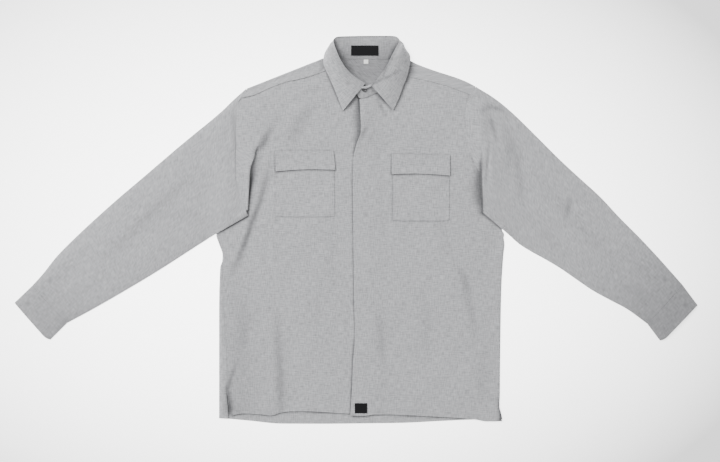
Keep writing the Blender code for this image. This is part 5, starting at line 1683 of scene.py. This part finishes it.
class ShirtAddSleeves(bpy.types.Operator):
    """Roll the sleeves and the cuffs, and sew their seams"""

    bl_idname = "shirt.add_sleeves"
    bl_label = "Add sleeves and cuffs"

    def execute(self, context):
        lines = []
        yoke_ends = yoke()[0]
        right_seam = np.concatenate([right_front()[0][:, -1, :3], from_fold(yoke_ends[0])])
        left_seam = np.concatenate([left_front()[:, -1], from_fold(yoke_ends[-1])])
        for side, made, creases, seam, end in (
            ("right", right_sleeve_grid(), RIGHT_SLEEVE_CREASES, right_seam, CUFF_RIGHT_END),
            ("left", left_sleeve_grid(), LEFT_SLEEVE_CREASES, left_seam, CUFF_LEFT_END),
        ):
            grid = sleeve(made, creases, seam)
            upper, grid = smoothstep(grid[..., 3] * 3), grid[..., :3]
            shade = np.maximum(dark_along(grid, SLEEVE_SHADES[side]), cavity(grid, creases, 0.1)) * upper
            # painted shade towards the sleeve's end, where less light falls
            shade = both_shades(shade, dark_along(grid, [SLEEVE_END_SHADES[side]]))
            piece = shell(side + "_sleeve", grid, cloth(), ring=True, shade=shade)
            under = ["floor", side + "_front_panel"]
            lay(piece, "sleeve_" + side, grid, ring=True)
            top = grid.shape[1] * 3 // 5
            lines.append(inset(grid, "first row", 3.0, ring=True)[:top])
            band, _ = finer(cuff_grid(made[0], end), POCKET_CELL, ring=True)
            # painted shade over the cuff, where less light falls
            end_shade = dark_along(band, [SLEEVE_END_SHADES[side]])
            piece = shell(side + "_cuff", band, cloth(), ring=True, shade=end_shade)
            lay(piece, "cuff_" + side, band, ring=True)
            top = band.shape[1] * 3 // 5
            lines += [inset(band, "first row", 2.0, True)[:top], inset(band, "last row", 4.0, True)[:top]]
        sew("sleeve_stitches", lines, thread())
        return {"FINISHED"}


def flap_shade(side):
    """Shade under the lower edge of a flap."""
    _, _, (right_x, right_y), (left_x, left_y) = POCKETS[side]["flap"]
    middle = ((left_x + right_x) / 2, (left_y + right_y) / 2 + FLAP_BOW)
    return ((left_x, left_y - 1, 0.66, 2.8), (*middle, 0.55, 2.4), (right_x, right_y - 1, 0.55, 2.6))


def pocket_shades(side):
    """Shade on a front beside the flap and round the pocket."""
    (x0, y0), (x1, y1), (x2, y2), (x3, y3) = POCKETS[side]["flap"]
    low_x, high_x, bottom = POCKETS[side]["bag"]
    left_depth = {"right": 0.12, "left": 0.4}[side]
    return (
        ((x0 - 0.6, y0, 0.4, 1.6), (x3 - 0.6, y3, 0.8, 2.0)),
        ((x1 + 0.6, y1, 0.15, 1.6), (x2 + 0.6, y2, 0.3, 1.8)),
        ((x0, y0 + 0.5, 0.2, 1.8), (x1, y1 + 0.5, 0.2, 1.8)),
        ((low_x - 1, y3, left_depth, 2), (low_x - 1, bottom, left_depth, 2), (high_x, bottom - 1, 0.2, 2)),
    )


class ShirtAddPockets(bpy.types.Operator):
    """Lay the pockets on the fronts, with their flaps over them"""

    bl_idname = "shirt.add_pockets"
    bl_label = "Add pockets and flaps"

    def execute(self, context):
        lines = []
        for side in ("right", "left"):
            bag, flap = pocket(side)
            shade = dark_along(bag, [flap_shade(side)])
            piece = shell("%s_pocket" % side, bag, cloth(), straight=True, shade=shade)
            lay(piece, "pocket_" + side, bag)
            for edge in ("first row", "first column", "last column"):
                lines.append(inset(bag, edge, 1.8))
            flap[..., 2] += pucker(flap, "first row") * 0.5
            piece = shell("%s_flap" % side, flap, cloth(), straight=True)
            lay(piece, "flap_" + side, flap)
            lines += [inset(flap, "first row", 2.0), inset(flap, "first row", 8.0)]
            for edge in ("last row", "first column", "last column"):
                lines.append(inset(flap, edge, 3.5))
        sew("pocket_stitches", lines, thread())
        return {"FINISHED"}


class ShirtAddCollar(bpy.types.Operator):
    """Fold the collar leaf over its stand"""

    bl_idname = "shirt.add_collar"
    bl_label = "Add collar"

    def execute(self, context):
        stand, keep = stand_with_lip()
        shade = dark_along(stand, STAND_SHADES) * smoothstep((LIP_HEIGHT - 0.9 - stand[..., 2]) / 0.6)
        piece = shell("stand_band", stand, cloth(), keep, shade=shade)
        lay(piece, "collar_stand", stand, keep)
        leaf, _ = finer(leaf_grid(), COLLAR_CELL)
        shade = dark_along(leaf, LEAF_SHADES)
        piece = shell("collar_fall", leaf, cloth(), shade=shade)
        lay(piece, "collar_leaf", leaf)
        lines = [inset(leaf, edge, 5.0) for edge in ("last column", "first row", "last row")]
        lines.append(inset(stand, "first column", 2.0))
        sew("collar_stitches", lines, thread())
        return {"FINISHED"}


class ShirtAddButton(bpy.types.Operator):
    """Turn the dark collar button, with its rim and its dish"""

    bl_idname = "shirt.add_button"
    bl_label = "Add collar button"

    def execute(self, context):
        angles = np.linspace(0, 2 * math.pi, 48, endpoint=False)
        rings = [
            [(radius * math.cos(a), radius * math.sin(a), height) for a in angles]
            for radius, height in BUTTON_PROFILE
        ]
        points = np.array(rings).reshape(-1, 3)
        count = len(angles)
        faces = []
        for ring in range(len(rings) - 1):
            for step in range(count):
                after = (step + 1) % count
                low, high = ring * count, (ring + 1) * count
                faces.append((low + step, low + after, high + after, high + step))
        faces.append(tuple(range(count))[::-1])
        faces.append(tuple((len(rings) - 1) * count + step for step in range(count)))
        c, s = math.cos(BUTTON_TILT), math.sin(BUTTON_TILT)
        lift = CLOTH / 2 + SEAM + BUTTON_THICK / 2
        points = points @ np.array([[1, 0, 0], [0, c, s], [0, -s, c]])
        points += (BUTTON_X, BUTTON_Y - lift * s, TAB_HEIGHT + lift * c)
        mesh = bpy.data.meshes.new("button")
        mesh.from_pydata((points * METRES).tolist(), [], faces)
        build = bmesh.new()
        build.from_mesh(mesh)
        bmesh.ops.recalc_face_normals(build, faces=build.faces)
        build.to_mesh(mesh)
        build.free()
        mesh.shade_smooth()
        mesh.set_sharp_from_angle(angle=math.radians(35))
        mesh.materials.append(finish_named("dark button", plain_finish, (0.035, 0.035, 0.037, 1), 0.3))
        button = add_object("button", mesh)
        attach(button, BODY)
        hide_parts("collar_button")
        return {"FINISHED"}


class ShirtAddLabels(bpy.types.Operator):
    """Sew on the bare neck label, size label and hem tag"""

    bl_idname = "shirt.add_labels"
    bl_label = "Add labels"

    def execute(self, context):
        black, white = (0.008, 0.008, 0.009, 1), (0.95, 0.95, 0.92, 1)
        for name, node, place, height, slot, colour in (
            ("neck_tape", "neck_label", NECK_LABEL, on_stand, "dark_label", black),
            ("size_tape", "size_label", SIZE_LABEL, on_yoke, "white_label", white),
            ("hem_tape", "hem_tag", HEM_TAG, left_top, "dark_label", black),
        ):
            grid, _ = finer(label_grid(place, height), LABEL_CELL)
            lift = (CLOTH + LABEL_THICK) / 2 + SEAM
            grid[..., 2] = height(grid[..., 0], grid[..., 1]) + lift
            piece = shell(name, grid, label_finish(name, colour), thickness=LABEL_THICK)
            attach(piece, BODY)
            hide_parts(node)
        return {"FINISHED"}


class ShirtPanel(bpy.types.Panel):
    """Shows the cloth's and the stage's settings, and the buttons that add the pieces"""

    bl_idname = "VIEW3D_PT_shirt"
    bl_label = "Shirt laid flat"
    bl_space_type = "VIEW_3D"
    bl_region_type = "UI"
    bl_category = "Shirt"

    def draw(self, context):
        layout = self.layout
        for group in (context.scene.shirt_cloth, context.scene.shirt_stage):
            for name in group.__annotations__:
                layout.prop(group, name)
        for operator in OPERATORS:
            layout.operator(operator.bl_idname)


OPERATORS = (
    ShirtAddStage, ShirtAddBody, ShirtAddSleeves, ShirtAddPockets, ShirtAddCollar, ShirtAddButton,
    ShirtAddLabels,
)
CLASSES = (ShirtCloth, ShirtStage, *OPERATORS, ShirtPanel)


def register():
    for item in CLASSES:
        bpy.utils.register_class(item)
    bpy.types.Scene.shirt_cloth = PointerProperty(type=ShirtCloth)
    bpy.types.Scene.shirt_stage = PointerProperty(type=ShirtStage)


def unregister():
    del bpy.types.Scene.shirt_stage
    del bpy.types.Scene.shirt_cloth
    for item in reversed(CLASSES):
        bpy.utils.unregister_class(item)


def main():
    register()
    bpy.ops.shirt.add_stage()
    bpy.ops.shirt.add_body()
    bpy.ops.shirt.add_sleeves()
    bpy.ops.shirt.add_pockets()
    bpy.ops.shirt.add_collar()
    bpy.ops.shirt.add_button()
    bpy.ops.shirt.add_labels()
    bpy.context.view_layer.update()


if __name__ == "__main__":
    main()
